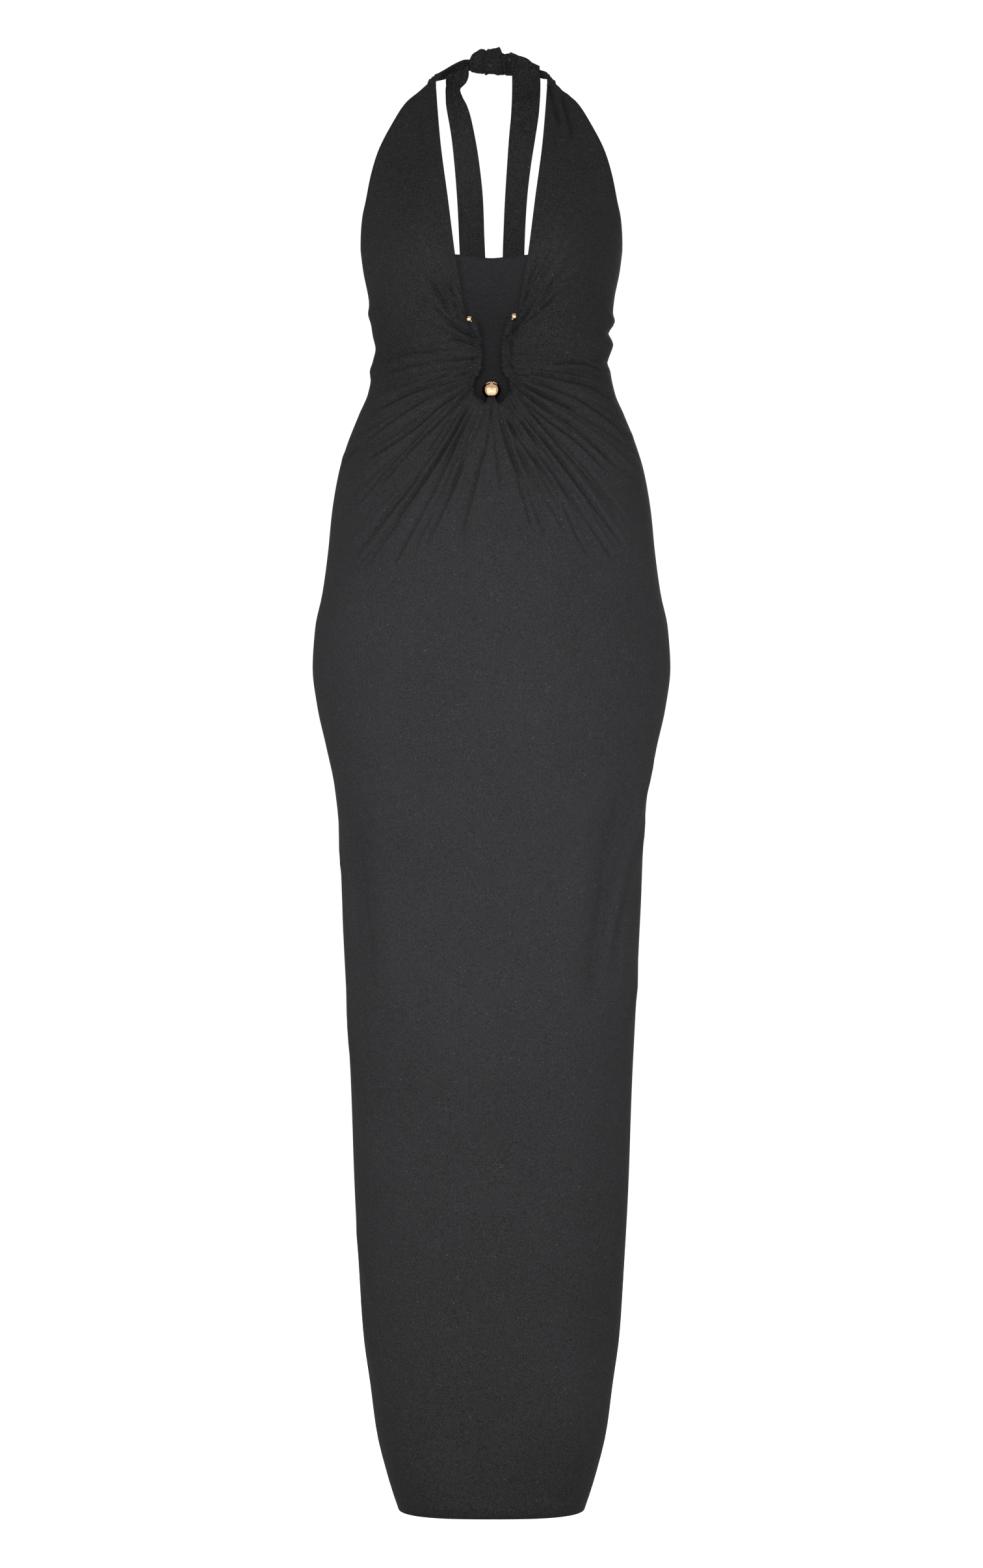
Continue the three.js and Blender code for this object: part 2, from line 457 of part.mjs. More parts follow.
// One half of the fan, as rays from the plunge edge to the outline. Four go with each fold: its trough, the two
// shoulders of the trough, and the swell between it and the next.
function fanRays(side) {
  const lines = fanLines(side);
  const rays = [];
  lines.forEach((line, k) => {
    const next = lines[k + 1] ?? line;
    const here = foldLine(line, side);
    const there = foldLine(next, side);
    const kinds = line.depth || (next.depth && next !== line) ? ['trough', 'after', 'swell', 'before'] : ['trough'];
    for (const kind of kinds) {
      rays.push(FAN_RINGS.map((u) => {
        const a = here(u);
        const b = there(u);
        const apart = Math.max(1, Math.hypot((a.across - b.across) * UNROLLED_QUARTER, a.z - b.z));
        const widthA = Math.min(line.width, 0.3 * apart);
        const widthB = Math.min(next.width, 0.3 * apart);
        const share = {
          trough: 0, after: Math.min(0.28, (1.4 * widthA) / apart), swell: 0.5, before: 1 - Math.min(0.28, (1.4 * widthB) / apart),
        }[kind];
        const place = { across: lerp(a.across, b.across, share), z: lerp(a.z, b.z, share) };
        for (const [edge, from, to, weight] of [
          [onPlunge, line.from, next.from, (1 - u) ** 2], [onOutline, line.end, next.end, u * u],
        ]) {
          const [p, q, r] = [from, to, lerp(from, to, share)].map((distance) => edge(distance, side));
          place.across += weight * (r.across - lerp(p.across, q.across, share));
          place.z += weight * (r.z - lerp(p.z, q.z, share));
        }
        const depthA = foldDepth(line, u);
        const depthB = foldDepth(next, u);
        const swell = 0.45 * lerp(depthA, depthB, share) * Math.sin(Math.PI * share) ** 2;
        return {
          ...place,
          out: swell - depthA * bell(share * apart, widthA) - depthB * bell((1 - share) * apart, widthB),
        };
      }));
    }
  });
  return rays;
}

// A mesh of named points and faces, thickened into a closed wall. Each point has its place on the form and how
// far it stands out.
class Cloth {
  constructor() {
    this.points = [];
    this.faces = [];
  }

  point(across, z, out) {
    this.points.push({ across, z, out });
    return this.points.length - 1;
  }

  // Rows of point numbers, with the second row to the right of the first when seen from outside.
  grid(rows) {
    for (let i = 0; i < rows.length - 1; i += 1) {
      for (let j = 0; j < rows[i].length - 1; j += 1) {
        const quad = [rows[i][j], rows[i + 1][j], rows[i + 1][j + 1], rows[i][j + 1]];
        this.faces.push([quad[0], quad[1], quad[2]], [quad[0], quad[2], quad[3]]);
      }
    }
  }

  geometry() {
    const count = this.points.length;
    const position = [];
    for (const depth of [0, WALL]) {
      for (const p of this.points) {
        const place = formPoint(p.across, p.z);
        place.addScaledVector(formNormal(p.across, p.z), p.out - depth);
        if (p.level) place.z = p.z;
        position.push(...place.toArray());
      }
    }
    const index = [];
    const edges = new Map();
    for (const [a, b, c] of this.faces) {
      index.push(a, b, c, a + count, c + count, b + count);
      for (const [from, to] of [[a, b], [b, c], [c, a]]) edges.set(`${from} ${to}`, [from, to]);
    }
    for (const [from, to] of edges.values()) {
      if (edges.has(`${to} ${from}`)) continue;
      index.push(from, from + count, to + count, from, to + count, to);
    }
    return new THREE.BufferGeometry()
      .setAttribute('position', new THREE.Float32BufferAttribute(position, 3))
      .setIndex(index);
  }
}

const SKIRT_ROWS = [-1475, -1443, -1400, -1340, -1250, -1140, -1030, -930, -850, -785, -725, -665, -610];

function frontPanel() {
  const cloth = new Cloth();
  const footPoints = [];
  for (const side of [-1, 1]) {
    const rays = fanRays(side);
    const rows = rays.map((ray, r) => ray.map((p, ring) => {
      if (side > 0 && r === 0) return footPoints.centre[ring];
      return cloth.point(p.across, p.z, p.out + drape(p.across, p.z));
    }));
    if (side < 0) footPoints.centre = rows[0];
    cloth.grid(side < 0 ? rows : [...rows].reverse());
    const onFoot = rows.filter((_, r) => Math.abs(rays[r][FAN_RINGS.length - 1].z - FAN_FOOT_Z) < 1e-6)
      .map((row) => row[FAN_RINGS.length - 1]);
    footPoints.push(...(side < 0 ? onFoot.reverse() : onFoot.slice(1)));
  }
  return { cloth, footPoints };
}

// The front: the fan, with the skirt below it. The corner between the fan's foot and the side seam is one more ray.
function front() {
  const { cloth, footPoints } = frontPanel();
  const columns = footPoints.map((top) => {
    const { across } = cloth.points[top];
    return [...SKIRT_ROWS.map((z) => {
      const id = cloth.point(across, z, drape(across, z));
      cloth.points[id].level = z === HEM_Z;
      return id;
    }), top];
  });
  cloth.grid(columns);
  return cloth.geometry();
}

const UPPER_BACK_ROWS = 19;
const BACK_COLUMNS = 20;

function back() {
  const cloth = new Cloth();
  const topEdge = column(BACK_TOP_EDGE, 'across', 'z');
  const columns = [];
  for (let i = 0; i <= BACK_COLUMNS; i += 1) {
    const across = lerp(1 + SEAM_SHARE, 3 - SEAM_SHARE, i / BACK_COLUMNS);
    const top = topEdge(Math.abs(across - 2));
    const upper = Array.from({ length: UPPER_BACK_ROWS + 1 }, (_, j) => {
      const share = j / UPPER_BACK_ROWS;
      return lerp(FAN_FOOT_Z, top, share < 0.25 ? share * 1.8 : lerp(0.45, 1, (share - 0.25) / 0.75));
    });
    columns.push([...SKIRT_ROWS, ...upper].map((z) => {
      const id = cloth.point(across, z, drape(across > 2 ? across - 4 : across, z));
      cloth.points[id].level = z === HEM_Z;
      return id;
    }));
  }
  cloth.grid(columns);
  return cloth.geometry();
}

// A closed solid through rings of points, capped at both ends.
function loft(rings, hollow) {
  const count = rings[0].length;
  const position = rings.flat().flatMap((p) => p.toArray());
  const index = [];
  for (let i = 0; i < rings.length - 1; i += 1) {
    for (let j = 0; j < count; j += 1) {
      const a = i * count + j;
      const b = i * count + ((j + 1) % count);
      index.push(a, b, b + count, a, b + count, a + count);
    }
  }
  if (hollow) {
    const offset = position.length / 3;
    position.push(...hollow.flat().flatMap((p) => p.toArray()));
    for (let i = 0; i < hollow.length - 1; i += 1) {
      for (let j = 0; j < count; j += 1) {
        const a = offset + i * count + j;
        const b = offset + i * count + ((j + 1) % count);
        index.push(a, b + count, b, a, a + count, b + count);
      }
    }
    const last = (rings.length - 1) * count;
    for (let j = 0; j < count; j += 1) {
      const k = (j + 1) % count;
      index.push(j, offset + j, offset + k, j, offset + k, k);
      index.push(last + j, offset + last + k, offset + last + j, last + j, last + k, offset + last + k);
    }
  } else {
    const last = (rings.length - 1) * count;
    for (let j = 1; j < count - 1; j += 1) {
      index.push(0, j + 1, j);
      index.push(last, last + j, last + j + 1);
    }
  }
  return new THREE.BufferGeometry()
    .setAttribute('position', new THREE.Float32BufferAttribute(position, 3))
    .setIndex(index);
}

// The line that the bar and the casing follow round the keyhole, from the right tip to the left one: the panel's
// edge, moved into the opening. distance is signed from the bottom of the keyhole.
function keyholePoint(distance) {
  const side = distance < 0 ? -1 : 1;
  const d = Math.abs(distance);
  const here = plunge.at(d);
  const ahead = plunge.at(d + 1);
  const behind = plunge.at(Math.max(0, d - 1));
  const along = ahead.sub(behind).normalize();
  if (d < 1) along.set(1, 0, 0);
  const x = here.x - along.z * (CASING_HALF_WIDTH + SEAM_GAP);
  const z = here.z + along.x * (CASING_HALF_WIDTH + SEAM_GAP);
  const across = acrossAt(Math.max(0.01, x), z);
  const point = formPoint(side * across, z);
  point.x = side * Math.max(0, x);
  point.addScaledVector(formNormal(side * across, z), -WALL / 2);
  return point;
}

// Rings round the keyhole line between two signed distances.
function keyholeRings(from, to, steps, corners, sizeAt) {
  const rings = [];
  for (let i = 0; i <= steps; i += 1) {
    const distance = lerp(from, to, i / steps);
    const centre = keyholePoint(distance);
    const along = keyholePoint(distance + 0.6).sub(keyholePoint(distance - 0.6)).normalize();
    const face = new THREE.Vector3(0, -1, 0).addScaledVector(along, along.y).normalize();
    const flat = new THREE.Vector3().crossVectors(face, along);
    rings.push(Array.from({ length: corners }, (_, j) => {
      const angle = (2 * Math.PI * (j + 0.5)) / corners;
      const size = sizeAt(distance);
      return centre.clone()
        .addScaledVector(flat, size.wide * Math.cos(angle) + (size.shift ?? 0))
        .addScaledVector(face, size.deep * Math.sin(angle));
    }));
  }
  return rings;
}

let wasm;
function solid(geometry) {
  const bare = new THREE.BufferGeometry().setAttribute('position', geometry.getAttribute('position').clone());
  if (geometry.index) bare.setIndex(geometry.index.clone());
  const merged = mergeVertices(bare, 1e-4);
  return new wasm.Manifold(new wasm.Mesh({
    numProp: 3,
    vertProperties: merged.attributes.position.array,
    triVerts: new Uint32Array(merged.index.array),
  }));
}

function geometryOf(manifold) {
  const mesh = manifold.getMesh();
  return new THREE.BufferGeometry()
    .setAttribute('position', new THREE.BufferAttribute(new Float32Array(mesh.vertProperties), 3))
    .setIndex(new THREE.BufferAttribute(new Uint32Array(mesh.triVerts), 1));
}

function ballAt(centre, radius, detail) {
  const ball = new THREE.SphereGeometry(radius, detail * 2, detail);
  ball.rotateX(QUARTER);
  ball.translate(...centre.toArray());
  return solid(ball);
}

const BAR_BOTTOM = keyholePoint(0);
const CENTRE_BALL = new THREE.Vector3(0, BAR_BOTTOM.y - 1.2, CENTRE_BALL_Z);
const tipBall = (side) => new THREE.Vector3(side * 21.9, keyholePoint(side * CASING_TOP).y - 1.4, -280.6);

function stem(radius) {
  const height = CENTRE_BALL.z - CENTRE_BALL_RADIUS + 1.5 - BAR_BOTTOM.z;
  const post = new THREE.CylinderGeometry(radius, radius, height, 12);
  post.rotateX(QUARTER);
  post.translate(0, BAR_BOTTOM.y, BAR_BOTTOM.z + height / 2);
  return solid(post);
}

// The bent metal bar with its balls, one piece.
function plungeBar() {
  const end = CASING_TOP - 1;
  const rings = keyholeRings(-end, end, 40, 6, () => ({ wide: BAR_RADIUS, deep: BAR_RADIUS }));
  for (const side of [-1, 1]) {
    const ring = side < 0 ? rings[0] : rings[rings.length - 1];
    const centre = keyholePoint(side * end);
    const tip = ring.map((p) => p.clone().sub(centre).add(tipBall(side)));
    if (side < 0) rings.unshift(tip);
    else rings.push(tip);
  }
  let bar = solid(loft(rings));
  bar = bar.add(stem(BAR_RADIUS)).add(ballAt(CENTRE_BALL, CENTRE_BALL_RADIUS, 10));
  for (const side of [-1, 1]) bar = bar.add(ballAt(tipBall(side), TIP_BALL_RADIUS, 6));
  return geometryOf(bar);
}

// The gathered casing, a ruched tube with the bar's channel in it, and a hole for the centre ball's stem.
function casing() {
  const puckers = Math.round((2 * CASING_TOP) / RUCHE_PITCH);
  const steps = puckers * 2;
  const pucker = (distance) => 0.5 - 0.5 * Math.cos((2 * Math.PI * (distance + CASING_TOP) * puckers) / (2 * CASING_TOP));
  const size = (distance) => {
    const grown = RUCHE_DEPTH * (pucker(distance) - 1) - 1.2 * (1 - ease(0, 9, CASING_TOP - Math.abs(distance)));
    const wider = CASING_REST.wider * bell(distance, CASING_REST.along);
    return { wide: CASING_HALF_WIDTH + grown + wider, deep: CASING_HALF_DEPTH + grown, shift: wider };
  };
  const bore = () => ({ wide: CASING_BORE, deep: CASING_BORE });
  const outer = keyholeRings(-CASING_TOP, CASING_TOP, steps, CASING_CORNERS, size);
  const inner = keyholeRings(-CASING_TOP, CASING_TOP, steps, CASING_CORNERS, bore);
  const tube = solid(loft(outer, inner));
  const ball = ballAt(CENTRE_BALL, CENTRE_BALL_RADIUS + SEAM_GAP, 10);
  return geometryOf(tube.subtract(stem(BAR_RADIUS + SEAM_GAP)).subtract(ball));
}

// A flat strip of doubled cloth through the rows of a path.
function strip(rows, facing) {
  const path = new THREE.CatmullRomCurve3(rows.map((r) => new THREE.Vector3(r.x, r.y, r.z)), false, 'centripetal');
  const steps = (rows.length - 1) * 2;
  const cuts = 4;
  const rings = [];
  for (let i = 0; i <= steps; i += 1) {
    const t = i / steps;
    const row = t * (rows.length - 1);
    const k = Math.min(rows.length - 2, Math.floor(row));
    const share = row - k;
    const value = (name) => lerp(rows[k][name] ?? 0, rows[k + 1][name] ?? 0, share);
    const centre = path.getPoint(t);
    const along = path.getTangent(t);
    const { wide, out } = facing(along, value);
    const half = value('width') / 2;
    const offset = (j) => {
      const s = (2 * j) / cuts - 1;
      return { s, bend: value('hollow') * (1 - s * s) + 0.35 * Math.cos(3 * Math.PI * s) };
    };
    const ring = [];
    for (let j = 0; j <= cuts; j += 1) {
      const { s, bend } = offset(j);
      ring.push(centre.clone().addScaledVector(wide, s * half).addScaledVector(out, bend + TIE_THICKNESS / 2));
    }
    for (let j = cuts; j >= 0; j -= 1) {
      const { s, bend } = offset(j);
      ring.push(centre.clone().addScaledVector(wide, s * half).addScaledVector(out, bend - TIE_THICKNESS / 2));
    }
    rings.push(ring);
  }
  return loft(rings);
}

function tie(side) {
  const rows = side < 0 ? TIE_PATHS.right : TIE_PATHS.left;
  return strip(rows, (along, value) => {
    const lean = radians(value('lean'));
    const ahead = new THREE.Vector3(along.x, along.y, 0).normalize();
    const level = new THREE.Vector3(ahead.y, -ahead.x, 0).multiplyScalar(-side);
    const wide = new THREE.Vector3(0, 0, 1).multiplyScalar(Math.cos(lean)).addScaledVector(level, Math.sin(lean));
    return { wide, out: new THREE.Vector3().crossVectors(wide, ahead) };
  });
}

function tail(side) {
  const rows = side < 0 ? TAIL_PATHS.right : TAIL_PATHS.left;
  return strip(rows, (along, value) => {
    const turn = radians(value('turn'));
    const wide = new THREE.Vector3(Math.cos(turn), -Math.sin(turn), -Math.tan(radians(value('tip'))));
    const level = new THREE.Vector3(wide.x, wide.y, 0);
    return { wide, out: new THREE.Vector3().crossVectors(level, along).normalize() };
  });
}

function knot() {
  const corners = 20;
  return loft(KNOT.map((row, i) => Array.from({ length: corners }, (_, j) => {
    const angle = (2 * Math.PI * j) / corners;
    const wrap = 1 + (KNOT_WRAP_DEPTH / 12) * Math.cos(KNOT_WRAPS * angle + i * 0.9);
    const up = Math.sin(angle) > 0 ? row.up : row.down;
    return new THREE.Vector3(row.x, row.y + (row.thick / 2) * wrap * Math.cos(angle), row.z + up * wrap * Math.sin(angle));
  })));
}

// The one opening of the library that cuts and joins solids
wasm = await Module();
wasm.setup();

const jersey = new THREE.MeshStandardMaterial({ color: 0x333436, roughness: 0.92, metalness: 0 });
const tieCloth = new THREE.MeshStandardMaterial({ color: 0x2c2d2f, roughness: 0.92, metalness: 0 });
const gilt = new THREE.MeshStandardMaterial({ color: 0xd9a679, roughness: 0.18, metalness: 1 });

const dress = new THREE.Group();
function add(name, geometry, material) {
  const mesh = new THREE.Mesh(geometry, material);
  mesh.name = name;
  dress.add(mesh);
}

add('front', front(), jersey);
add('back', back(), jersey);
add('casing', casing(), jersey);
add('plunge_bar', plungeBar(), gilt);
add('tie_right', tie(-1), tieCloth);
add('tie_left', tie(1), tieCloth);
add('knot', knot(), tieCloth);
add('tail_right', tail(-1), tieCloth);
add('tail_left', tail(1), tieCloth);

export default dress;
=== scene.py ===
"""A halterneck maxi dress in black jersey, its plunge gathered onto a curved gilt bar.

Sizes in the tables are millimetres, as a maker would write them; meshes are metres.
x runs across (left as worn is +x), y from front to back, z up from the nape.
"""

import json
import math

import bpy
import numpy as np
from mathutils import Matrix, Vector

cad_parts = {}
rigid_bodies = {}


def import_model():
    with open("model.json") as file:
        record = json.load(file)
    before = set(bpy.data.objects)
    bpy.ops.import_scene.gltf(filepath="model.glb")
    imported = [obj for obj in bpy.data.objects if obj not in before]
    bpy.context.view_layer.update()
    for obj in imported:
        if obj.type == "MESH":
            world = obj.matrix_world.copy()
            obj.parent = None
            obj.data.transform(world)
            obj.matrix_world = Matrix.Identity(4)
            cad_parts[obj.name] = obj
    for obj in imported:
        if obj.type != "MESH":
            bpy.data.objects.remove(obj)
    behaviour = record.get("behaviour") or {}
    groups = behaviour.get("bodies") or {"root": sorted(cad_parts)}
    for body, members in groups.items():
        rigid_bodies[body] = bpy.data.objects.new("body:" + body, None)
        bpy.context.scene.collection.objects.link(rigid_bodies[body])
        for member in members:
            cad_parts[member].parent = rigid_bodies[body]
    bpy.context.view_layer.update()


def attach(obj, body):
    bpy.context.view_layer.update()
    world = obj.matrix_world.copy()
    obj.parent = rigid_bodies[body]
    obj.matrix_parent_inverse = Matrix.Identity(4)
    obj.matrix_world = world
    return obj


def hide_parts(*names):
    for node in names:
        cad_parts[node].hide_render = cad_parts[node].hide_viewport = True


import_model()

MM = 0.001
QUARTER = math.pi / 2
TURN = 2 * math.pi

# Sizes of the dress
JERSEY_THICK = 1.3
SEAM_GAP = 0.12
UNROLLED_QUARTER = 200    # a quarter of the way round, laid flat
HEM_Z = -1475
UNDERARM_Z = -200
FAN_FOOT_Z = -560         # the fan of folds ends here and the skirt begins
CASING_HALF_WIDTH = 4.9
CASING_HALF_DEPTH = 3.9
CASING_BORE = 1.5
CASING_TOP = 106          # the bar's half length, measured along it
CASING_EDGE_GAP = 0.3
CASING_SUNK = 0.9         # how far its middle lies behind the cloth's face
RUCHE_PITCH = 4.2
RUCHE_DEPTH = 1.25
END_DRAWN_IN = 1.9        # the casing narrows this much at its two ends
BAR_RADIUS = 1.3
TIP_BALL_RADIUS = 2.8
TIP_BALL_X = 22.3
TIP_BALLS_Z = {-1: -282.2, 1: -279.6}
CENTRE_BALL_RADIUS = 9
CENTRE_BALL_Z = -352.4
BALL_SET_BACK = 4         # the large ball's middle, behind the bar's
STEM_RADIUS = 1.4
COLLAR_RADIUS = 1.9
COLLAR_THICK = 0.6
TIE_THICK = 2.0
TIE_SEAM_INSET = 2.6      # the tie's seam, in from its edge
TIE_SEAM_SINK = 0.34

# Camera: level, at half the height of the frame
CAMERA_Z = -742.8
CAMERA_Y = -4575
LENS = 101.84

# The worn form: height, half width, foremost y, rearmost y, y of the side seam, squareness
FORM_ROWS = [
    (-1475, 95, -160, 8, -76, 2.8),
    (-1440, 106, -163, 11, -76, 2.7),
    (-1398, 116.5, -166, 14, -76, 2.6),
    (-1350, 123, -168, 16, -76, 2.5),
    (-1300, 130, -170, 18, -76, 2.4),
    (-1250, 133.5, -172, 20, -76, 2.35),
    (-1150, 139, -174, 23, -76, 2.3),
    (-1050, 142.5, -176, 26, -76, 2.3),
    (-950, 147.5, -179, 29, -76, 2.3),
    (-855, 152, -182, 32, -75, 2.25),
    (-785, 155, -184, 37, -74, 2.2),
    (-745, 159.5, -186, 42, -72, 2.2),
    (-705, 168, -188, 47, -70, 2.15),
    (-665, 177, -189, 52, -68, 2.1),
    (-625, 182, -190, 55, -66, 2.1),
    (-585, 179.5, -191, 55, -66, 2.1),
    (-547, 171.5, -192, 52, -68, 2.1),
    (-507, 166, -192, 45, -70, 2.1),
    (-468, 162, -191, 36, -73, 2.1),
    (-428, 155, -188, 25, -77, 2.1),
    (-400, 146.5, -185, 15, -81, 2.1),
    (-369, 134, -181, 7, -85, 2.1),
    (-348, 125, -179, 2, -87, 2.1),
    (-324, 120.5, -178, 0, -88, 2.1),
    (-300, 120, -179, 2, -87, 2.1),
    (-276, 122, -180, 7, -86, 2.15),
    (-252, 124.5, -180, 14, -84, 2.2),
    (-224, 130, -180, 22, -82, 2.3),
    (-200, 133, -178, 28, -80, 2.4),
    (-158, 137, -168, 34, -77, 2.4),
    (-131, 140, -155, 34, -74, 2.4),
    (-105, 142, -138, 32, -71, 2.3),
    (-78, 140, -116, 28, -66, 2.3),
    (-52, 132, -91, 20, -56, 2.3),
    (-39, 126, -77, 14, -47, 2.3),
    (-28, 118, -63, 8, -36, 2.3),
]
FORM_COLUMNS = ("z", "half_width", "front", "back", "side", "square")
CUP = {"x": 72, "z": -210, "forward": 27, "in": 30, "out": 36, "above": 50, "below": 40}

# Half of the front's inner edge, from the bottom of the keyhole to the neck: x, z
PLUNGE_EDGE = [
    (0, -376), (10, -373.8), (19, -367), (25.4, -358), (27.6, -348), (25, -338.5), (20.8, -330.5),
    (19, -321), (19, -310), (20.5, -298), (23.4, -287), (25.6, -279), (30, -255), (33.4, -235),
    (36, -218), (39.6, -190), (43.6, -158), (47.4, -130), (50.6, -104), (53.2, -76), (55.2, -50),
    (56.6, -30),
]
# Half of its outer edge, from the underarm to the neck: x, z
ARMHOLE_EDGE = [
    (132.9, -200), (131.8, -184), (130, -171), (126.8, -158), (121.5, -132), (114, -106),
    (101.5, -79), (87, -53), (74, -40), (65, -30),
]

# The fan of folds: start along the plunge edge, what it heads for, where on that, bow, reach,
# depth and width
FOLDS_RIGHT = [
    (2, "foot", 46, 2, 0.7, 2.2, 3.4),
    (8, "foot", 88, 3, 0.74, 2.4, 3.8),
    (14, "foot", 103, 2, 0.8, 2.8, 4.2),
    (20, "foot", 121, 1, 0.84, 3.0, 4.2),
    (25, "foot", 146, 0, 0.86, 3.2, 4.6),
    (30, "foot", 163, 0, 0.8, 3.2, 4.8),
    (35, "side", -500, 2, 0.9, 2.6, 4.2),
    (40, "side", -432, 1, 0.95, 2.4, 4.0),
    (45, "side", -410, 5, 1.0, 2.8, 3.8),
    (51, "side", -376, 3, 1.0, 2.4, 3.6),
    (57, "side", -362, 5, 0.95, 2.2, 3.4),
    (64, "side", -345, 3, 0.9, 2.0, 3.4),
    (72, "side", -332, 5, 0.95, 2.4, 4.2),
    (81, "side", -318, 5, 1.0, 2.2, 4.4),
    (88, "side", -268, 0, 0.45, 1.6, 3.6),
    (94, "side", -216, -2, 0.6, 2.2, 4.0),
    (100, "arm", -163, -3, 0.62, 2.4, 4.0),
    (107, "arm", -136, -4, 0.5, 2.2, 3.8),
    (116, "arm", -84, -4, 0.34, 1.6, 3.4),
]
FOLDS_LEFT = [
    (3, "foot", 24, 1, 0.5, 2.0, 3.2),
    (9, "foot", 62, 2, 0.66, 2.6, 4.0),
    (14, "foot", 80, 4, 0.7, 2.2, 3.6),
    (19, "foot", 112, 4, 0.74, 3.0, 4.2),
    (24, "foot", 130, 6, 0.8, 3.2, 4.4),
    (29, "foot", 152, 9, 0.84, 3.2, 4.6),
    (34, "foot", 168, 11, 0.84, 2.8, 4.6),
    (39, "side", -478, 7, 0.8, 2.6, 4.2),
    (44, "side", -432, 10, 1.0, 3.2, 4.4),
    (50, "side", -396, 11, 1.0, 2.8, 4.2),
    (56, "side", -362, 8, 0.95, 2.6, 3.8),
    (62, "side", -346, 4, 0.95, 2.2, 3.6),
    (70, "side", -318, 3, 1.0, 3.0, 4.2),
    (80, "side", -288, 2, 0.4, 1.4, 3.6),
    (89, "side", -250, 0, 0.4, 1.8, 3.6),
    (95, "side", -204, -2, 0.6, 2.6, 4.0),
    (101, "arm", -163, -3, 0.68, 2.8, 4.0),
    (108, "arm", -106, -4, 0.56, 2.4, 3.6),
    (118, "arm", -56, -3, 0.4, 2.0, 3.4),
]
# Plain lines above the folds: share of the plunge edge left, share of the outline left
PLAIN_LINES = [(0.1, 0.3), (0.26, 0.5), (0.46, 0.68), (0.72, 0.84), (1, 1)]

# Creases pulled out of the gathers, each through four places as seen from the front, in the
# plane of the belly: x, z, x, z, x, z, x, z, depth, width. A depth below 0 is a ridge.
CREASES_RIGHT = [
    (-0.5, -373.5, -5, -404.5, -14, -435.5, -32, -506, 1.2, 1.5),
    (-9, -380, -18, -396.5, -26, -411, -35, -425, 0.7, 1.6),
    (-14, -378.5, -26, -407, -35, -440, -68.5, -511.5, 1.3, 1.9),
    (-18, -380, -29.5, -404.5, -34, -418.5, -36.5, -427.5, 0.8, 1.5),
    (-42.5, -446, -51.5, -465.5, -64.5, -485.5, -80, -515, 0.7, 2.2),
    (-22, -377.5, -36, -404.5, -49, -435.5, -100.5, -530.5, 1.3, 1.9),
    (-24, -368.5, -38, -396.5, -62, -434.5, -98, -483.5, 1.7, 1.5),
    (-87.5, -470, -103, -489.5, -116, -507.5, -134, -528, 1.2, 1.6),
    (-90, -478, -100.5, -492, -112, -508.5, -129, -531, 1.1, 1.7),
    (-71, -438, -89, -458, -111, -484, -139, -520.5, 1.0, 2.9),
    (-28.5, -360.5, -42.5, -380, -54, -399, -69.5, -421, 1.0, 1.5),
    (-73.5, -439, -85, -445.5, -96.5, -454.5, -107, -463.5, 0.6, 1.8),
    (-27, -357.5, -49, -381, -74.5, -405.5, -117, -454.5, 1.3, 1.5),
    (-29.5, -356, -59, -383, -91, -417.5, -138, -472, 1.0, 1.5),
    (-28.5, -353, -49, -367, -78.5, -392, -127.5, -424.5, 1.6, 1.5),
    (-62, -378.5, -81, -388.5, -100.5, -399, -122.5, -412, 0.6, 3.0),
    (-32, -347, -62, -358, -98, -382.5, -134, -410, 1.3, 1.5),
    (-131.5, -407.5, -139, -415.5, -144.5, -422.5, -148, -430, 1.4, 1.6),
    (-26, -337, -49, -347.5, -74.5, -360.5, -98, -373.5, 0.8, 1.7),
    (-18.5, -331.5, -49, -344, -82.5, -355.5, -120, -376.5, 1.4, 1.6),
    (-22, -329, -44, -337, -68.5, -346, -94, -357.5, 0.9, 1.5),
    (-68.5, -337, -84.5, -341.5, -100.5, -347, -116, -354, 0.7, 2.8),
    (-62, -325, -80, -328.5, -95.5, -332, -109.5, -339.5, 1.1, 2.4),
    (-56.5, -314, -74.5, -315, -91.5, -318.5, -111, -326.5, 1.0, 3.2),
    (-17.5, -321.5, -26, -321.5, -33.5, -322, -42.5, -322, 0.9, 1.6),
    (-17.5, -326, -26, -327.5, -33.5, -329.5, -41, -332, 0.6, 1.4),
    (-28.5, -316, -38.5, -317, -49, -317.5, -62, -318.5, 0.4, 1.4),
    (-16.5, -308.5, -24.5, -305, -32, -302.5, -44, -301.5, 0.9, 1.7),
    (-18.5, -303.5, -32, -300, -46.5, -295, -68.5, -285, 0.7, 2.2),
    (-18, -299.5, -32, -293.5, -45, -282, -60.5, -269, 1.4, 1.8),
    (-18.5, -298, -33.5, -288.5, -45, -271.5, -64.5, -238, 1.3, 2.1),
    (-29.5, -288.5, -34, -278, -36.5, -266.5, -41, -247, 0.9, 1.7),
    (-70, -76, -70.5, -88, -70, -100, -69.5, -113, 0.5, 2.6),
    (-19.5, -306.5, -17.9, -307.8, -16.4, -308.8, -14.6, -309.6, 1.2, 1.3),
    (-19.6, -323, -18.2, -321.6, -16.8, -320.7, -14.6, -319.6, 1.4, 1.3),
    (-14.2, -325.8, -16, -327.6, -17.6, -329.4, -18.9, -331.4, 0.9, 1.2),
    (-152, -735, -147, -781, -142, -835, -132, -930, -1.0, 2.6),
    (-136, -770, -130, -815, -125, -860, -116, -950, 1.2, 9),
    (-139, -905, -133, -960, -126, -1020, -117, -1080, -0.6, 2.6),
]
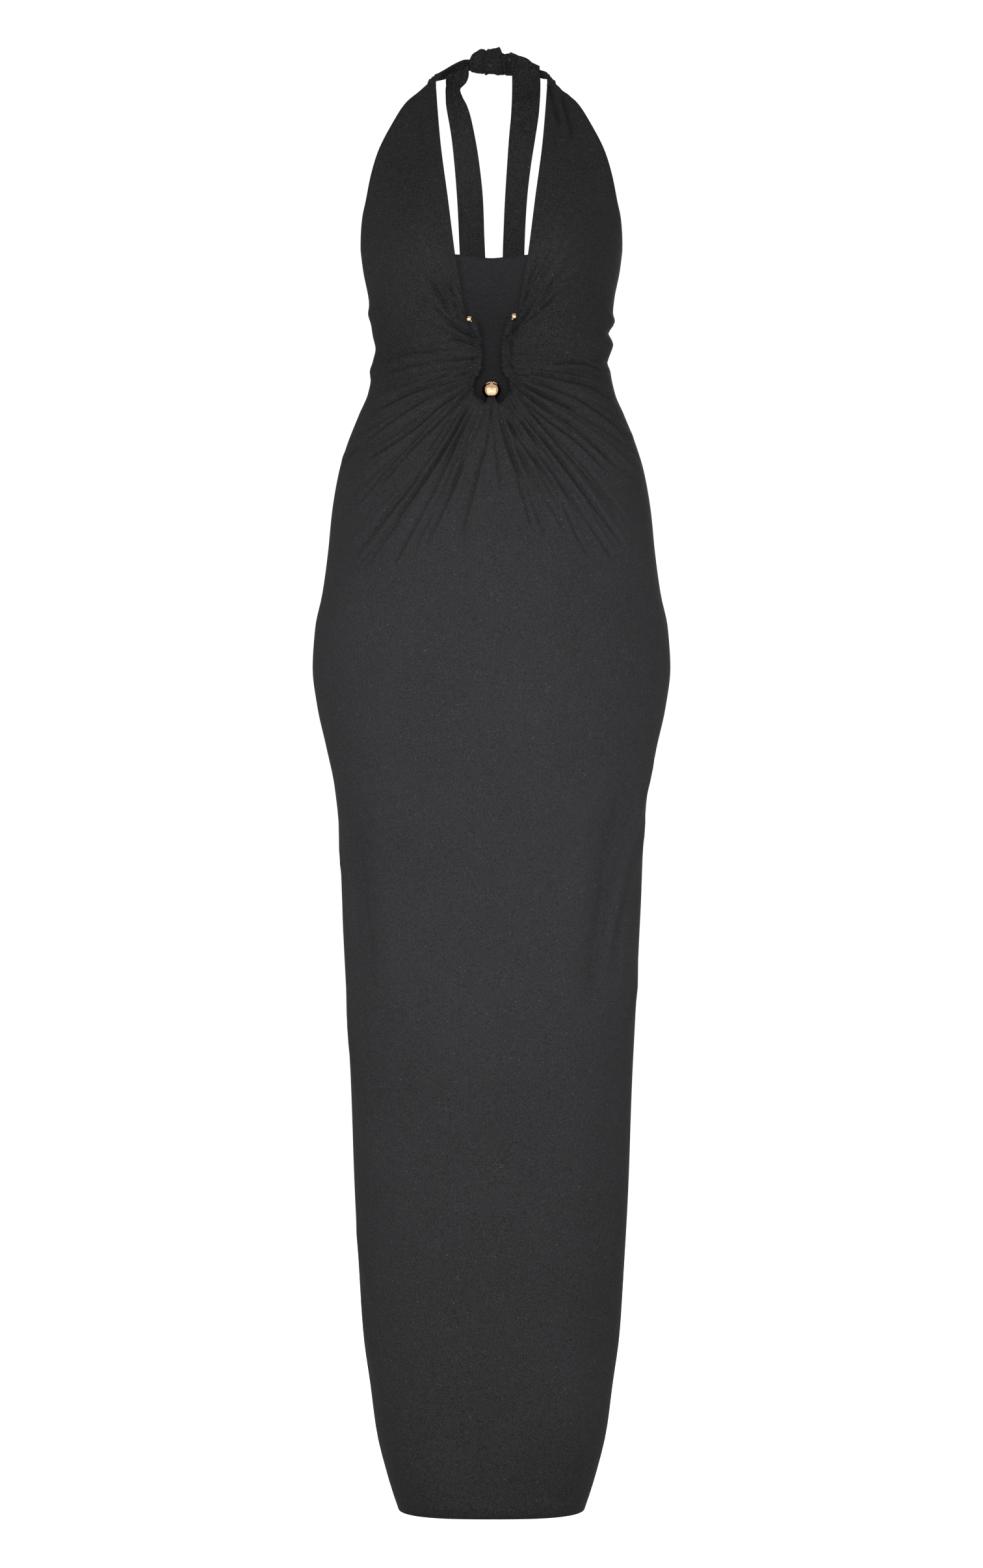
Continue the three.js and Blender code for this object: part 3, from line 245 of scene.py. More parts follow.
CREASES_LEFT = [
    (0, -375, 2.5, -396.5, 6, -422.5, 9.5, -457, 1.0, 1.5),
    (7.5, -376, 14, -400.5, 23, -425, 32, -444.5, 1.4, 1.8),
    (26, -438.5, 31, -456, 35.5, -471.5, 41, -493, 1.0, 1.7),
    (30.5, -441.5, 38.5, -458.5, 46.5, -478, 53.5, -499.5, 1.0, 2.0),
    (13, -378.5, 28.5, -403, 58, -440.5, 69.5, -462.5, 1.7, 1.5),
    (68.5, -460, 76, -476.5, 85, -497, 98, -519, 1.1, 1.4),
    (22, -403, 37.5, -431.5, 54, -460, 81, -505, 1.0, 2.0),
    (18, -371, 36, -391.5, 56.5, -417.5, 77.5, -449.5, 1.4, 1.6),
    (38.5, -407, 64.5, -438.5, 87.5, -470, 126, -528, 1.3, 2.1),
    (73.5, -440, 82.5, -453.5, 91.5, -466, 100.5, -481.5, 0.9, 1.5),
    (23, -368.5, 45, -394.5, 76, -431.5, 139, -517.5, 1.5, 1.6),
    (28.5, -365.5, 54, -389, 87.5, -423, 135, -482.5, 0.7, 1.7),
    (27.5, -360, 54, -381, 86.5, -404.5, 117, -435.5, 1.5, 1.6),
    (28.5, -353, 58, -372, 92.5, -396.5, 130, -434, 1.6, 1.8),
    (72, -380.5, 87.5, -389, 100.5, -398, 114.5, -409.5, 0.9, 1.4),
    (92.5, -390, 112, -405, 130, -421, 150.5, -444.5, -0.7, 1.6),
    (27, -344.5, 45, -353.5, 64.5, -362.5, 89, -374, 1.5, 1.6),
    (26, -335.5, 44, -342.5, 65.5, -352, 83.5, -359.5, 0.9, 1.5),
    (83.5, -358.5, 100.5, -370, 118.5, -383, 141.5, -407, 1.6, 1.8),
    (26, -331.5, 41, -335.5, 58, -338.5, 74.5, -342, 0.6, 1.4),
    (67, -341.5, 85, -344.5, 103, -350.5, 121, -364.5, 1.0, 1.9),
    (73.5, -333.5, 87.5, -333.5, 100.5, -335.5, 114.5, -344, 1.1, 2.0),
    (22, -326.5, 38.5, -326.5, 53, -327, 65.5, -326.5, 0.5, 1.0),
    (60.5, -327, 77.5, -325, 94, -326.5, 112, -335, 1.7, 1.8),
    (22, -318.5, 28.5, -318, 35, -317.5, 44, -317, 0.6, 1.5),
    (19.5, -302, 31, -295, 44, -288, 62, -278, 0.8, 2.2),
    (18.5, -298, 35, -286, 53, -270.5, 71, -253, 1.5, 1.7),
    (18, -297, 33.5, -283.5, 49, -265.5, 65.5, -239.5, 1.0, 1.6),
    (20.5, -295, 33.5, -280, 44, -264, 58, -243.5, 1.1, 1.5),
    (28.5, -286, 36, -273, 42.5, -260, 53, -243.5, 0.9, 1.5),
    (32, -268, 35.5, -254.5, 38.5, -239.5, 47.5, -224, 1.1, 1.8),
    (56, -46.5, 60, -62, 65, -80, 69, -93, 1.5, 2.2),
    (69, -57, 73.5, -74, 78, -91, 81, -107, 1.5, 2.2),
    (18.2, -301, 19.4, -307, 20.2, -314, 21.6, -320.5, 1.3, 1.3),
    (17.4, -325.5, 19, -327.3, 20.6, -329, 22.4, -330.8, 1.4, 1.2),
    (151, -745, 141, -786, 131, -826, 113, -925, -1.2, 2.8),
    (128, -752, 115, -806, 108, -860, 96, -965, 1.6, 11),
    (149, -800, 139, -850, 131, -905, 121, -970, -0.7, 2.6),
    (140, -820, 132, -870, 126, -920, 118, -990, 0.6, 5),
]
CREASE_PLANE_Y = -185
CREASE_GAIN = 1.9      # depths in the tables are multiplied by this
CREASE_FADE = 0.12     # share of a crease over which it deepens
CREASE_TAIL = 0.82     # share of it after which it dies out
CREASE_REACH = 4.5     # widths to each side that it can move
CREASE_STEPS = 28
# Creases in the back, seen through the plunge
CREASES_BACK = [
    (-32, -222, -26, -222.5, -20, -222, -13, -221.5, 0.9, 1.8),
    (-28, -243, -10, -244.5, 8, -244, 25, -243, 0.45, 1.6),
    (-2.8, -203, -3.2, -206, -3, -209, -3.2, -213, 1.0, 1.3),
    (14, -262, 20, -259, 26, -257, 33, -256, 0.5, 2.0),
]

# Rolls round the waist at the side seams: side, z, out, height, how far round
SIDE_ROLLS = [
    (1, -275, 2.8, 5.5, 0.4),
    (1, -287, -2.6, 4.5, 0.5),
    (1, -299, 3.2, 6.5, 0.45),
    (1, -317, -3.0, 6.0, 0.5),
    (-1, -268, 2.2, 7.0, 0.4),
    (-1, -303, -2.6, 9.0, 0.5),
    (-1, -326, 2.6, 7.0, 0.45),
]
# Rolls across the hollow of the back: z, across, spread, out, height, tilt
BACK_ROLLS = [
    (-262, -0.15, 0.5, -1.6, 6, 6),
    (-286, 0.1, 0.62, 2.4, 8, -5),
    (-304, -0.1, 0.66, -2.6, 6, 8),
    (-322, 0.12, 0.6, 2.4, 8, -4),
    (-343, 0, 0.55, -2.0, 7, 5),
]
# Drags down the skirt: from across, from z, to across, to z, out, width
SKIRT_DRAGS = [
    (-0.98, -790, -0.62, -960, 1.9, 7),
    (-0.93, -830, -0.5, -1040, -1.8, 14),
    (-0.97, -960, -0.6, -1180, 1.9, 8),
    (-0.95, -1190, -0.62, -1290, 1.6, 8),
    (-0.9, -1260, -0.66, -1380, 1.5, 8),
    (0.98, -715, 0.62, -830, 2.3, 9),
    (0.99, -770, 0.58, -900, 2.0, 7),
    (0.9, -800, 0.5, -980, -1.8, 14),
    (0.97, -930, 0.62, -1050, 1.8, 8),
    (0.8, -1000, 0.55, -1250, -1.6, 16),
    (1.5, -690, 1.75, -860, -2.2, 12),
    (-1.5, -700, -1.72, -880, -2.2, 12),
    (1.9, -760, 1.84, -1150, 2.0, 15),
    (-1.62, -900, -1.5, -1300, -1.8, 15),
    (1.45, -960, 1.6, -1350, -1.8, 15),
]
# The back's top edge: across from the centre back, z
BACK_TOP_EDGE = [(0, -197.5), (0.28, -193.5), (0.65, -194.5), (1, -200)]

# The ties round the neck: x, y, z, width, lean
TIE_RIGHT = [
    (-60.9, -66.9, -33.4, 9.4, 88),
    (-60.9, -61.9, -29.4, 8.8, 86),
    (-60.7, -55.2, -26.6, 9, 70),
    (-59.6, -46, -21.6, 10.5, 48),
    (-56.4, -29, -18.2, 12, 42),
    (-49.5, -13.5, -13.2, 13.5, 34),
    (-40, -4.6, -8, 15, 26),
    (-31, -0.4, -4.2, 15.5, 18),
    (-23.2, 2.3, -1.2, 12, 4),
    (-18.5, 4, -0.2, 9, 0),
]
TIE_LEFT = [
    (60.9, -66.9, -33.4, 9.4, 88),
    (60.9, -61.9, -29.4, 8.8, 86),
    (60.7, -55.2, -25.8, 9, 70),
    (59.6, -46, -21, 10, 48),
    (56.6, -29, -16.4, 10.5, 42),
    (49.5, -13.5, -12.2, 11.5, 36),
    (39, -5.4, -4.8, 20, 27),
    (29, 0.6, -1.8, 21, 14),
    (22, 3.2, -0.2, 23.4, 6),
    (15.6, 5.6, 0, 22.6, 2),
    (9.5, 7.4, 0.6, 16, 0),
]
# The loose ends: x, y, z, width, turn, tip, hollow
TAIL_RIGHT = [
    (-28.2, -6.6, -3.4, 17, -42, -26, 0.6),
    (-34.6, -14, -9.6, 26, -34, -24, 1.4),
    (-35.4, -14.6, -16.6, 28, -34, -14, 2.2),
    (-36.6, -13.4, -21.4, 25, -34, -6, 2.5),
    (-39.6, -11, -27, 17.6, -33, 0, 2.6),
    (-38.6, -4.5, -34, 19, -24, 0, 1.8),
    (-36.2, 1.6, -42, 22.4, -15, 0, 1.2),
    (-33.4, 6.6, -53, 23.8, -7, 0, 0.8),
    (-29.9, 13.6, -70, 24.4, -3, 0, 1),
    (-26.2, 20.8, -95, 25.8, 2, 0, 1.2),
    (-22.4, 27.6, -134, 27, 0, 0, 1.2),
    (-20.6, 29.6, -175, 26.5, -2, 0, 0.8),
    (-19.4, 30.1, -206, 26.5, -3, 0, 1),
    (-19.6, 30.4, -252, 26.5, -8, 0, 2.2),
    (-20.6, 29.4, -296, 26.5, -6, 0, 1.6),
]
TAIL_LEFT = [
    (34.4, -17.4, 2.2, 32.6, 22, 27, 1.2),
    (35.6, -18.4, -8, 30.5, 22, 17, 1),
    (35.8, -17.2, -17, 31, 21, 5, 0.8),
    (35.8, -11.6, -27, 30.5, 17, 0, 0.8),
    (35.4, -0.5, -39, 29.5, 10, 0, 0.8),
    (34.4, 6.6, -53, 28.8, 5, 0, 0.9),
    (32, 15, -72, 27.6, 3, 0, 1.2),
    (28.4, 23.2, -103, 24.8, 1, 0, 1.2),
    (25.6, 28.2, -134, 23.2, 0, 0, 1),
    (23.6, 29.5, -172, 22.6, 1, 0, 0.8),
    (22.7, 30.1, -206, 22.6, 3, 0, 1),
    (22.8, 30.7, -258, 23.4, 9, 0, 2.2),
    (24, 29.8, -312, 24, 8, 0, 1.8),
]
# Pleats where they leave the knot: off the middle, width, depth, how far down
PLEATS_RIGHT = [(6.8, 1.3, 2.8, 22), (-3.5, 2.6, 1, 26)]
PLEATS_LEFT = [(-11.5, 1.4, 2.2, 20), (3, 3, 1, 34)]
# The knot, as sections along x: x, y, z, up, down, thick
KNOT = [
    (-24.4, 2.4, -1, 4.8, 5, 5),
    (-22.4, 3.2, -0.4, 6.2, 5.8, 7),
    (-20.4, 5, 0.6, 9.4, 8.2, 11.4),
    (-15, 7.2, 1.6, 12.6, 10.4, 14.4),
    (-9, 8.2, 2, 15, 11.2, 16.4),
    (-4, 8.6, 2, 13.8, 11.3, 17.2),
    (2, 8.8, 2, 15, 11.6, 17.6),
    (7.6, 8.7, 1.8, 17, 12, 17),
    (11, 8.2, 1.2, 12.6, 11.2, 14),
    (14, 7.2, 0.2, 10.6, 11, 10),
    (16.8, 6.6, 0, 10.2, 10.4, 6.5),
]


# ---- curves and the worn form ----

def bell(value, width):
    """1 at 0, dying away on both sides."""
    return np.exp(-((value / width) ** 2))


def ease(low, high, value):
    """0 up to low, 1 from high on, smooth between."""
    t = np.clip((value - low) / (high - low), 0, 1)
    return t * t * (3 - 2 * t)


def lerp(a, b, t):
    return a + (b - a) * t


def smooth_column(at, value):
    """A smooth curve through a column of a table, that never overshoots its rows."""
    at, value = np.asarray(at, float), np.asarray(value, float)
    rise = np.diff(value) / np.diff(at)
    before, after = np.r_[rise[0], rise], np.r_[rise, rise[-1]]
    turning = before * after <= 0
    slope = np.where(turning, 0, 2 * before * after / np.where(turning, 1, before + after))

    def value_at(x):
        x = np.clip(x, at[0], at[-1])
        i = np.clip(np.searchsorted(at, x, side="right") - 1, 0, len(at) - 2)
        step = at[i + 1] - at[i]
        t = (x - at[i]) / step
        return (
            value[i] * (1 + 2 * t) * (1 - t) ** 2
            + slope[i] * step * t * (1 - t) ** 2
            + value[i + 1] * t * t * (3 - 2 * t)
            + slope[i + 1] * step * t * t * (t - 1)
        )

    return value_at


form_table = np.array(FORM_ROWS, float)
FORM = {
    name: smooth_column(form_table[:, 0], form_table[:, i])
    for i, name in enumerate(FORM_COLUMNS)
    if i
}


def form_point(across, z):
    """Points of the worn form. across: 0 centre front, -1 and 1 the side seams, 2 centre back."""
    across, z = np.broadcast_arrays(np.asarray(across, float), np.asarray(z, float))
    angle = across * QUARTER
    front = np.cos(angle) > 0
    side, power = FORM["side"](z), FORM["square"](z)
    depth = np.where(front, side - FORM["front"](z), FORM["back"](z) - side)
    wide = np.abs(np.sin(angle) / FORM["half_width"](z)) ** power
    deep = np.abs(np.cos(angle) / depth) ** power
    radius = (wide + deep) ** (-1 / power)
    x = radius * np.sin(angle)
    off, lift = np.abs(x) - CUP["x"], z - CUP["z"]
    spread = math.sqrt(2)
    cup = (
        CUP["forward"]
        * np.clip(1 - across**4, 0, 1)
        * bell(off, spread * np.where(off < 0, CUP["in"], CUP["out"]))
        * bell(lift, spread * np.where(lift > 0, CUP["above"], CUP["below"]))
    )
    return np.stack([x, side - radius * np.cos(angle) - np.where(front, cup, 0), z], -1)


def form_normal(across, z):
    """Which way is out, at points of the worn form."""
    round_way = form_point(across + 0.002, z) - form_point(across - 0.002, z)
    up_way = form_point(across, z + 0.5) - form_point(across, z - 0.5)
    normal = np.cross(round_way, up_way)
    return normal / np.linalg.norm(normal, axis=-1, keepdims=True)


HALVINGS = 30


def across_at(x, z):
    """How far round the front the form has a given x, by halving."""
    x, z = np.broadcast_arrays(np.asarray(x, float), np.asarray(z, float))
    low, high = np.zeros(x.shape), np.ones(x.shape)
    for _ in range(HALVINGS):
        middle = (low + high) / 2
        inside = form_point(middle, z)[..., 0] < np.abs(x)
        low, high = np.where(inside, middle, low), np.where(inside, high, middle)
    return np.sign(x) * (low + high) / 2


class Path:
    """A smooth line through points, by row number or by distance along it."""

    FINE_STEPS = 3000

    def __init__(self, points):
        self.points = np.asarray(points, float)
        self.rows = np.linspace(0, len(points) - 1, self.FINE_STEPS)
        fine = self.at_row(self.rows)
        steps = np.linalg.norm(np.diff(fine, axis=0), axis=1)
        self.travelled = np.r_[0, np.cumsum(steps)]
        self.length = self.travelled[-1]

    def at_row(self, row):
        p = self.points
        row = np.atleast_1d(np.asarray(row, float))
        i = np.clip(np.floor(row).astype(int), 0, len(p) - 2)
        t = (row - i)[:, None]
        p1, p2 = p[i], p[i + 1]
        p0 = np.where((i > 0)[:, None], p[np.maximum(i - 1, 0)], 2 * p1 - p2)
        last = i + 2 > len(p) - 1
        p3 = np.where(last[:, None], 2 * p2 - p1, p[np.minimum(i + 2, len(p) - 1)])
        pairs = ((p0, p1), (p1, p2), (p2, p3))
        d0, d1, d2 = (np.linalg.norm(b - a, axis=1)[:, None] ** 0.5 for a, b in pairs)
        t1 = ((p1 - p0) / d0 - (p2 - p0) / (d0 + d1) + (p2 - p1) / d1) * d1
        t2 = ((p2 - p1) / d1 - (p3 - p1) / (d1 + d2) + (p3 - p2) / d2) * d1
        return (
            p1
            + t1 * t
            + (-3 * p1 + 3 * p2 - 2 * t1 - t2) * t**2
            + (2 * p1 - 2 * p2 + t1 + t2) * t**3
        )

    def at(self, distance):
        distance = np.asarray(distance, float)
        row = np.interp(distance.ravel(), self.travelled, self.rows)
        return self.at_row(row).reshape(distance.shape + (self.points.shape[1],))


plunge = Path(PLUNGE_EDGE)
armhole = Path(ARMHOLE_EDGE)
SEAM_SHARE = SEAM_GAP / 2 / UNROLLED_QUARTER


def drape(across, z):
    """How far the cloth stands off the form, apart from the fan of folds."""
    across = np.where(across > 2, across - 4, across)
    out = np.zeros(np.broadcast(across, z).shape)
    for side, roll_z, stand, height, how_round in SIDE_ROLLS:
        off = np.abs(across - side)
        out += np.where(
            off < how_round, stand * bell(z - roll_z, height) * (1 - ease(0.1, how_round, off)), 0
        )
    behind = np.where(across > 0, across - 2, across + 2)
    for roll_z, middle, spread, stand, height, tilt in BACK_ROLLS:
        off = behind - middle
        roll = stand * bell(z - roll_z + tilt * off, height) * (1 - ease(0.3, 1, np.abs(off) / spread))
        out += np.where(np.abs(behind) < 1, roll, 0)
    for from_across, from_z, to_across, to_z, stand, width in SKIRT_DRAGS:
        along = (z - from_z) / (to_z - from_z)
        off = (across - lerp(from_across, to_across, along)) * FORM["half_width"](z) * 1.25
        fade = ease(-0.1, 0.25, along) * (1 - ease(0.55, 1.1, along))
        out += stand * bell(off, width) * fade
    return out


# ---- the fan of folds ----

FOOT_LENGTH = float(FORM["half_width"](FAN_FOOT_Z))
SIDE_LENGTH = UNDERARM_Z - FAN_FOOT_Z
OUTLINE_LENGTH = FOOT_LENGTH + SIDE_LENGTH + armhole.length


def on_plunge(distance, side):
    """across and z of a place on the plunge's edge."""
    p = plunge.at(distance)
    return side * across_at(p[..., 0], p[..., 1]), p[..., 1]


def on_outline(distance, side):
    """Out along the fan's foot, up the side seam and up the armhole edge."""
    distance = np.asarray(distance, float)
    seam = 1 - SEAM_SHARE
    up_side = FAN_FOOT_Z + distance - FOOT_LENGTH
    arm = armhole.at(np.clip(distance - FOOT_LENGTH - SIDE_LENGTH, 0, armhole.length))
    on_foot, on_side = distance <= FOOT_LENGTH, distance <= FOOT_LENGTH + SIDE_LENGTH
    foot_across = np.minimum(seam, across_at(np.minimum(distance, FOOT_LENGTH), FAN_FOOT_Z))
    arm_across = np.minimum(seam, across_at(arm[..., 0], arm[..., 1]))
    across = np.where(on_foot, foot_across, np.where(on_side, seam, arm_across))
    z = np.where(on_foot, FAN_FOOT_Z, np.where(on_side, up_side, arm[..., 1]))
    return side * across, z


def outline_distance(goal, at):
    """Where on the outline a fold heads: by x on the foot, by z on the side or the armhole."""
    if goal == "foot":
        return at
    if goal == "side":
        return FOOT_LENGTH + at - FAN_FOOT_Z
    steps = np.arange(0, armhole.length, 1.0)
    return FOOT_LENGTH + SIDE_LENGTH + steps[np.argmax(armhole.at(steps)[:, 1] >= at)]


def fan_lines(side):
    """The folds of one side in order round the plunge, with plain lines where there are none."""
    plain = {"bow": 0, "reach": 0.5, "depth": 0, "width": 4}
    lines = [
        {"from": start, "goal": goal, "end": outline_distance(goal, at), "bow": bow,
         "reach": reach, "depth": depth, "width": width}
        for start, goal, at, bow, reach, depth, width in (FOLDS_RIGHT if side < 0 else FOLDS_LEFT)
    ]
    corner = next(i for i, line in enumerate(lines) if line["goal"] == "side")
    middle = (lines[corner - 1]["from"] + lines[corner]["from"]) / 2
    lines.insert(corner, {**plain, "from": middle, "end": FOOT_LENGTH})
    last = lines[-1]
    for edge, outline in PLAIN_LINES:
        lines.append({
            **plain,
            "from": lerp(last["from"], plunge.length, edge),
            "end": lerp(last["end"], OUTLINE_LENGTH, outline),
        })
    return [{**plain, "from": 0, "end": 0}, *lines]


def fold_line(line, side, u):
    """across and z of a fold at a share u of its way from the plunge to the outline."""
    start_across, start_z = on_plunge(line["from"], side)
    end_across, end_z = on_outline(line["end"], side)
    run = side * (end_across - start_across) * UNROLLED_QUARTER
    rise = end_z - start_z
    length = math.hypot(float(run), float(rise))
    lift = line["bow"] * 4 * u * (1 - u)
    across = lerp(start_across, end_across, u) - side * (rise / length) * lift / UNROLLED_QUARTER
    return across, lerp(start_z, end_z, u) + run / length * lift


def fold_depth(line, u):
    grown = 0.5 + 0.5 * ease(0, 0.12, u)
    return line["depth"] * grown * (1 - ease(line["reach"] * 0.5, line["reach"], u))


RINGS = 59             # odd, as the inner face takes every other one
SKIRT_ROWS = 67        # odd too
RAY_STEP = 1.02        # between rays, half way out, where there are folds
PLAIN_RAY_STEP = 2.2
RINGS_CLOSER = 1.45    # the rings lie closer together next to the plunge
LEAST_SLANT = 0.45     # of a ray to the plunge's edge
FOLD_SHARE = 0.5       # of a fold's depth that is broad; its crease makes up the rest
FINE_GATHER = 0.85     # small gathers between the folds, next to the casing
EDGE_LAP = 8.0         # how far the front's cloth runs on over the casing, past its crown
LIP_LAP = 2.4          # further still below the large ball
CASED_TOP = {-1: 110.5, 1: 113}    # the gathered cloth goes right up to the tip balls
LIP_FROM, LIP_TO = 5, 12           # the lip below the large ball, as distance along the plunge
LIP_WIDER = 3.7        # the cloth stands up in front of the large ball
LIP_DEEPER = 1.5
CROWN_CLEAR = 0.6      # the cloth's face above the casing's crown
LAP_BUMPS = 0.6        # height of the small bumps in the lap


def unit(vectors):
    return vectors / np.linalg.norm(vectors, axis=-1, keepdims=True)


def lip_at(distance):
    """1 below the large ball, 0 along the sides of the plunge."""
    return 1 - ease(LIP_FROM, LIP_TO, np.abs(distance))


def over_casing(across, z):
    """How high the cloth climbs as it runs over the casing."""
    distance = np.linspace(-CASED_TOP[-1] - 6, CASED_TOP[1] + 6, 600)
    centre, flat, _ = keyhole_frame(distance)
    line, inward = centre[:, [0, 2]], unit(flat[:, [0, 2]])
    place = form_point(across, z)[..., [0, 2]].reshape(-1, 2)
    lift = np.zeros(len(place))
    near = np.flatnonzero((np.abs(place[:, 0]) < 50) & (place[:, 1] < -250) & (place[:, 1] > -400))
    for part in np.array_split(near, max(1, len(near) // 4000)):
        if not len(part):
            continue
        to_place = place[part][:, None] - line
        i = (to_place**2).sum(-1).argmin(1)
        at = distance[i]
        off = (to_place[np.arange(len(part)), i] * inward[i]).sum(-1)
        lip = lip_at(at)
        wide = CASING_HALF_WIDTH + LIP_WIDER * lip
        crown = CASING_HALF_DEPTH + LIP_DEEPER * lip - CASING_SUNK + CROWN_CLEAR
        bumps = LAP_BUMPS * np.sin(1.7 * at + 2 * np.sin(0.9 * off)) * np.sin(1.3 * off + 0.6 * at)
        lift[part] = (crown + bumps) * (1 - ease(0, 1.65 * wide, np.abs(off - LIP_WIDER * lip)))
    return lift.reshape(np.shape(across))


def fan_half(side):
    """across, z and stand-off of one half of the fan, rays by rings."""
    flat = np.array([UNROLLED_QUARTER, 1])
    base = (np.linspace(0, 1, RINGS) ** RINGS_CLOSER)[None]
    lines = fan_lines(side)
    parts = []
    for k, line in enumerate(lines):
        following = lines[k + 1] if k + 1 < len(lines) else None
        if following is None:
            across, z = fold_line(line, side, base)
            parts.append((across, z, np.zeros((1, RINGS))))
            break
        folded = max(line["depth"], following["depth"]) > 0
        middles = [np.array(fold_line(l, side, 0.5)) for l in (line, following)]
        gap = np.linalg.norm((middles[1] - middles[0]) * flat)
        rays = 2 * max(2, round(gap / (RAY_STEP if folded else PLAIN_RAY_STEP) / 2))
        share = np.arange(rays)[:, None] / rays
        foot, near, tip = (np.array(fold_line(line, side, t)) * flat for t in (0.0, 0.04, 1.0))
        length = np.linalg.norm(tip - foot)
        start = lerp(line["from"], following["from"], share)
        cased = 1 - ease(CASED_TOP[side] - 4, CASED_TOP[side] + 0.5, start)
        ragged = 0.5 * np.sin(1.9 * start) + 0.3 * np.sin(4.3 * start)
        lap = EDGE_LAP + LIP_LAP * lip_at(start) + ragged
        # a ray that leaves the edge aslant runs on further, so that the lap is even
        heading = unit(near - foot)
        edge_way = unit(plunge.at(line["from"] + 1) - plunge.at(max(0, line["from"] - 1)))
        slant = abs(heading[0] * edge_way[1] - side * heading[1] * edge_way[0])
        u = lerp(-lap * cased / max(LEAST_SLANT, slant) / length, 1, base)
        a_across, a_z = fold_line(line, side, u)
        b_across, b_z = fold_line(following, side, u)
        apart = np.maximum(1, np.hypot((a_across - b_across) * UNROLLED_QUARTER, a_z - b_z))
        width_a, width_b = (np.minimum(l["width"], 0.3 * apart) for l in (line, following))
        across, z = lerp(a_across, b_across, share), lerp(a_z, b_z, share)
        for edge, low, high, weight in (
            (on_plunge, line["from"], following["from"], (1 - u) ** 2),
            (on_outline, line["end"], following["end"], u * u),
        ):
            p, q, r = (edge(d, side) for d in (low, high, lerp(low, high, share)))
            across = across + weight * (r[0] - lerp(p[0], q[0], share))
            z = z + weight * (r[1] - lerp(p[1], q[1], share))
        depth_a, depth_b = FOLD_SHARE * fold_depth(line, u), FOLD_SHARE * fold_depth(following, u)
        out = 0.5 * lerp(depth_a, depth_b, share) * np.sin(math.pi * share) ** 2
        out = out - depth_a * bell(share * apart, width_a) - depth_b * bell((1 - share) * apart, width_b)
        gathers = np.abs(np.sin(3 * math.pi * share + 0.6 * math.sin(2.1 * k))) ** 0.8
        out = out + folded * FINE_GATHER * (gathers - 0.6) * (1 - ease(0.01, 0.14, u))
        out = out + cased * over_casing(across, z)
        parts.append((across, z, out))
    across, z, out = (np.concatenate([p[i] for p in parts]) for i in range(3))
    return across, z, out


# ---- meshes ----

def mesh_object(name, points, faces, uv=None, tone=None):
    """points in millimetres, uv in metres over the cloth, tone 0 dark to 1 light."""
    mesh = bpy.data.meshes.new(name)
    mesh.from_pydata((np.asarray(points) * MM).tolist(), [], [[int(i) for i in face] for face in faces])
    mesh.polygons.foreach_set("use_smooth", [True] * len(mesh.polygons))
    if uv is not None:
        layer = mesh.uv_layers.new(name="Cloth")
        corner = np.empty(len(mesh.loops), int)
        mesh.loops.foreach_get("vertex_index", corner)
        layer.data.foreach_set("uv", np.asarray(uv, float)[corner].ravel())
    if tone is not None:
        mesh.attributes.new("tone", "FLOAT", "POINT").data.foreach_set("value", np.asarray(tone, float))
    mesh.update()
    obj = bpy.data.objects.new(name, mesh)
    bpy.context.scene.collection.objects.link(obj)
    return obj


def grid_faces(ids):
    """Quads over a grid of point numbers, columns to the right of each other seen from outside."""
    ids = np.asarray(ids)
    return np.stack([ids[:-1, :-1], ids[1:, :-1], ids[1:, 1:], ids[:-1, 1:]], -1).reshape(-1, 4)


def creased(points, rows):
    """How far creases sink points, each crease a smooth line through four places."""
    nearer = (CREASE_PLANE_Y - CAMERA_Y) / (points[:, 1] - CAMERA_Y)
    seen = np.stack([points[:, 0] * nearer, CAMERA_Z + (points[:, 2] - CAMERA_Z) * nearer], -1)
    sunk = np.zeros(len(points))
    for row in rows:
        depth, width = row[8:]
        path = Path(np.reshape(row[:8], (4, 2)))
        line = path.at(np.linspace(0, path.length, CREASE_STEPS))
        reach = CREASE_REACH * width
        inside = np.all((seen > line.min(0) - reach) & (seen < line.max(0) + reach), axis=1)
        start, step = line[:-1], np.diff(line, axis=0)
        to_point = seen[inside][:, None] - start
        t = np.clip((to_point * step).sum(-1) / (step**2).sum(-1), 0, 1)
        off = np.linalg.norm(to_point - t[..., None] * step, axis=-1)
        nearest = off.argmin(1)[:, None]
        off = np.take_along_axis(off, nearest, 1)[:, 0]
        along = (nearest + np.take_along_axis(t, nearest, 1))[:, 0] / len(step)
        fade = (0.45 + 0.55 * ease(0, CREASE_FADE, along)) * (1 - ease(CREASE_TAIL, 1, along))
        shape = 0.6 * np.exp(-off / (0.5 * width)) + 0.4 * bell(off, 1.3 * width)
        sunk[inside] += CREASE_GAIN * depth * fade * (shape - 0.2 * bell(off - 2.3 * width, width))
    return sunk


# Jersey is paler where it is drawn tight over the hips, and this tone also paints in a pool of light
# round the hips, so it is darker towards the hem and the bust: z, tone
STRETCH_AND_LIGHT_POOL = [
    (-1475, 0.05), (-1400, 0.25), (-1250, 0.5), (-1000, 0.75), (-800, 1.0), (-620, 0.95),
    (-450, 0.6), (-360, 0.2), (-310, 0.0), (-240, 0.1), (-100, 0.0), (-20, 0.0),
]
WRONG_SIDE_AND_PAINTED_LIGHT = 1.9  # its wrong side is paler, and painted paler still: painted light over the shade inside the dress
RIM_ROUNDING = 0.28    # share of its thickness drawn in from each face along an edge
CREASE_PAINTED_SHADE = 0.11       # painted shade down in a crease, for each millimetre it sinks
stretch_and_light_pool_tone = smooth_column(*np.array(STRETCH_AND_LIGHT_POOL, float).T)


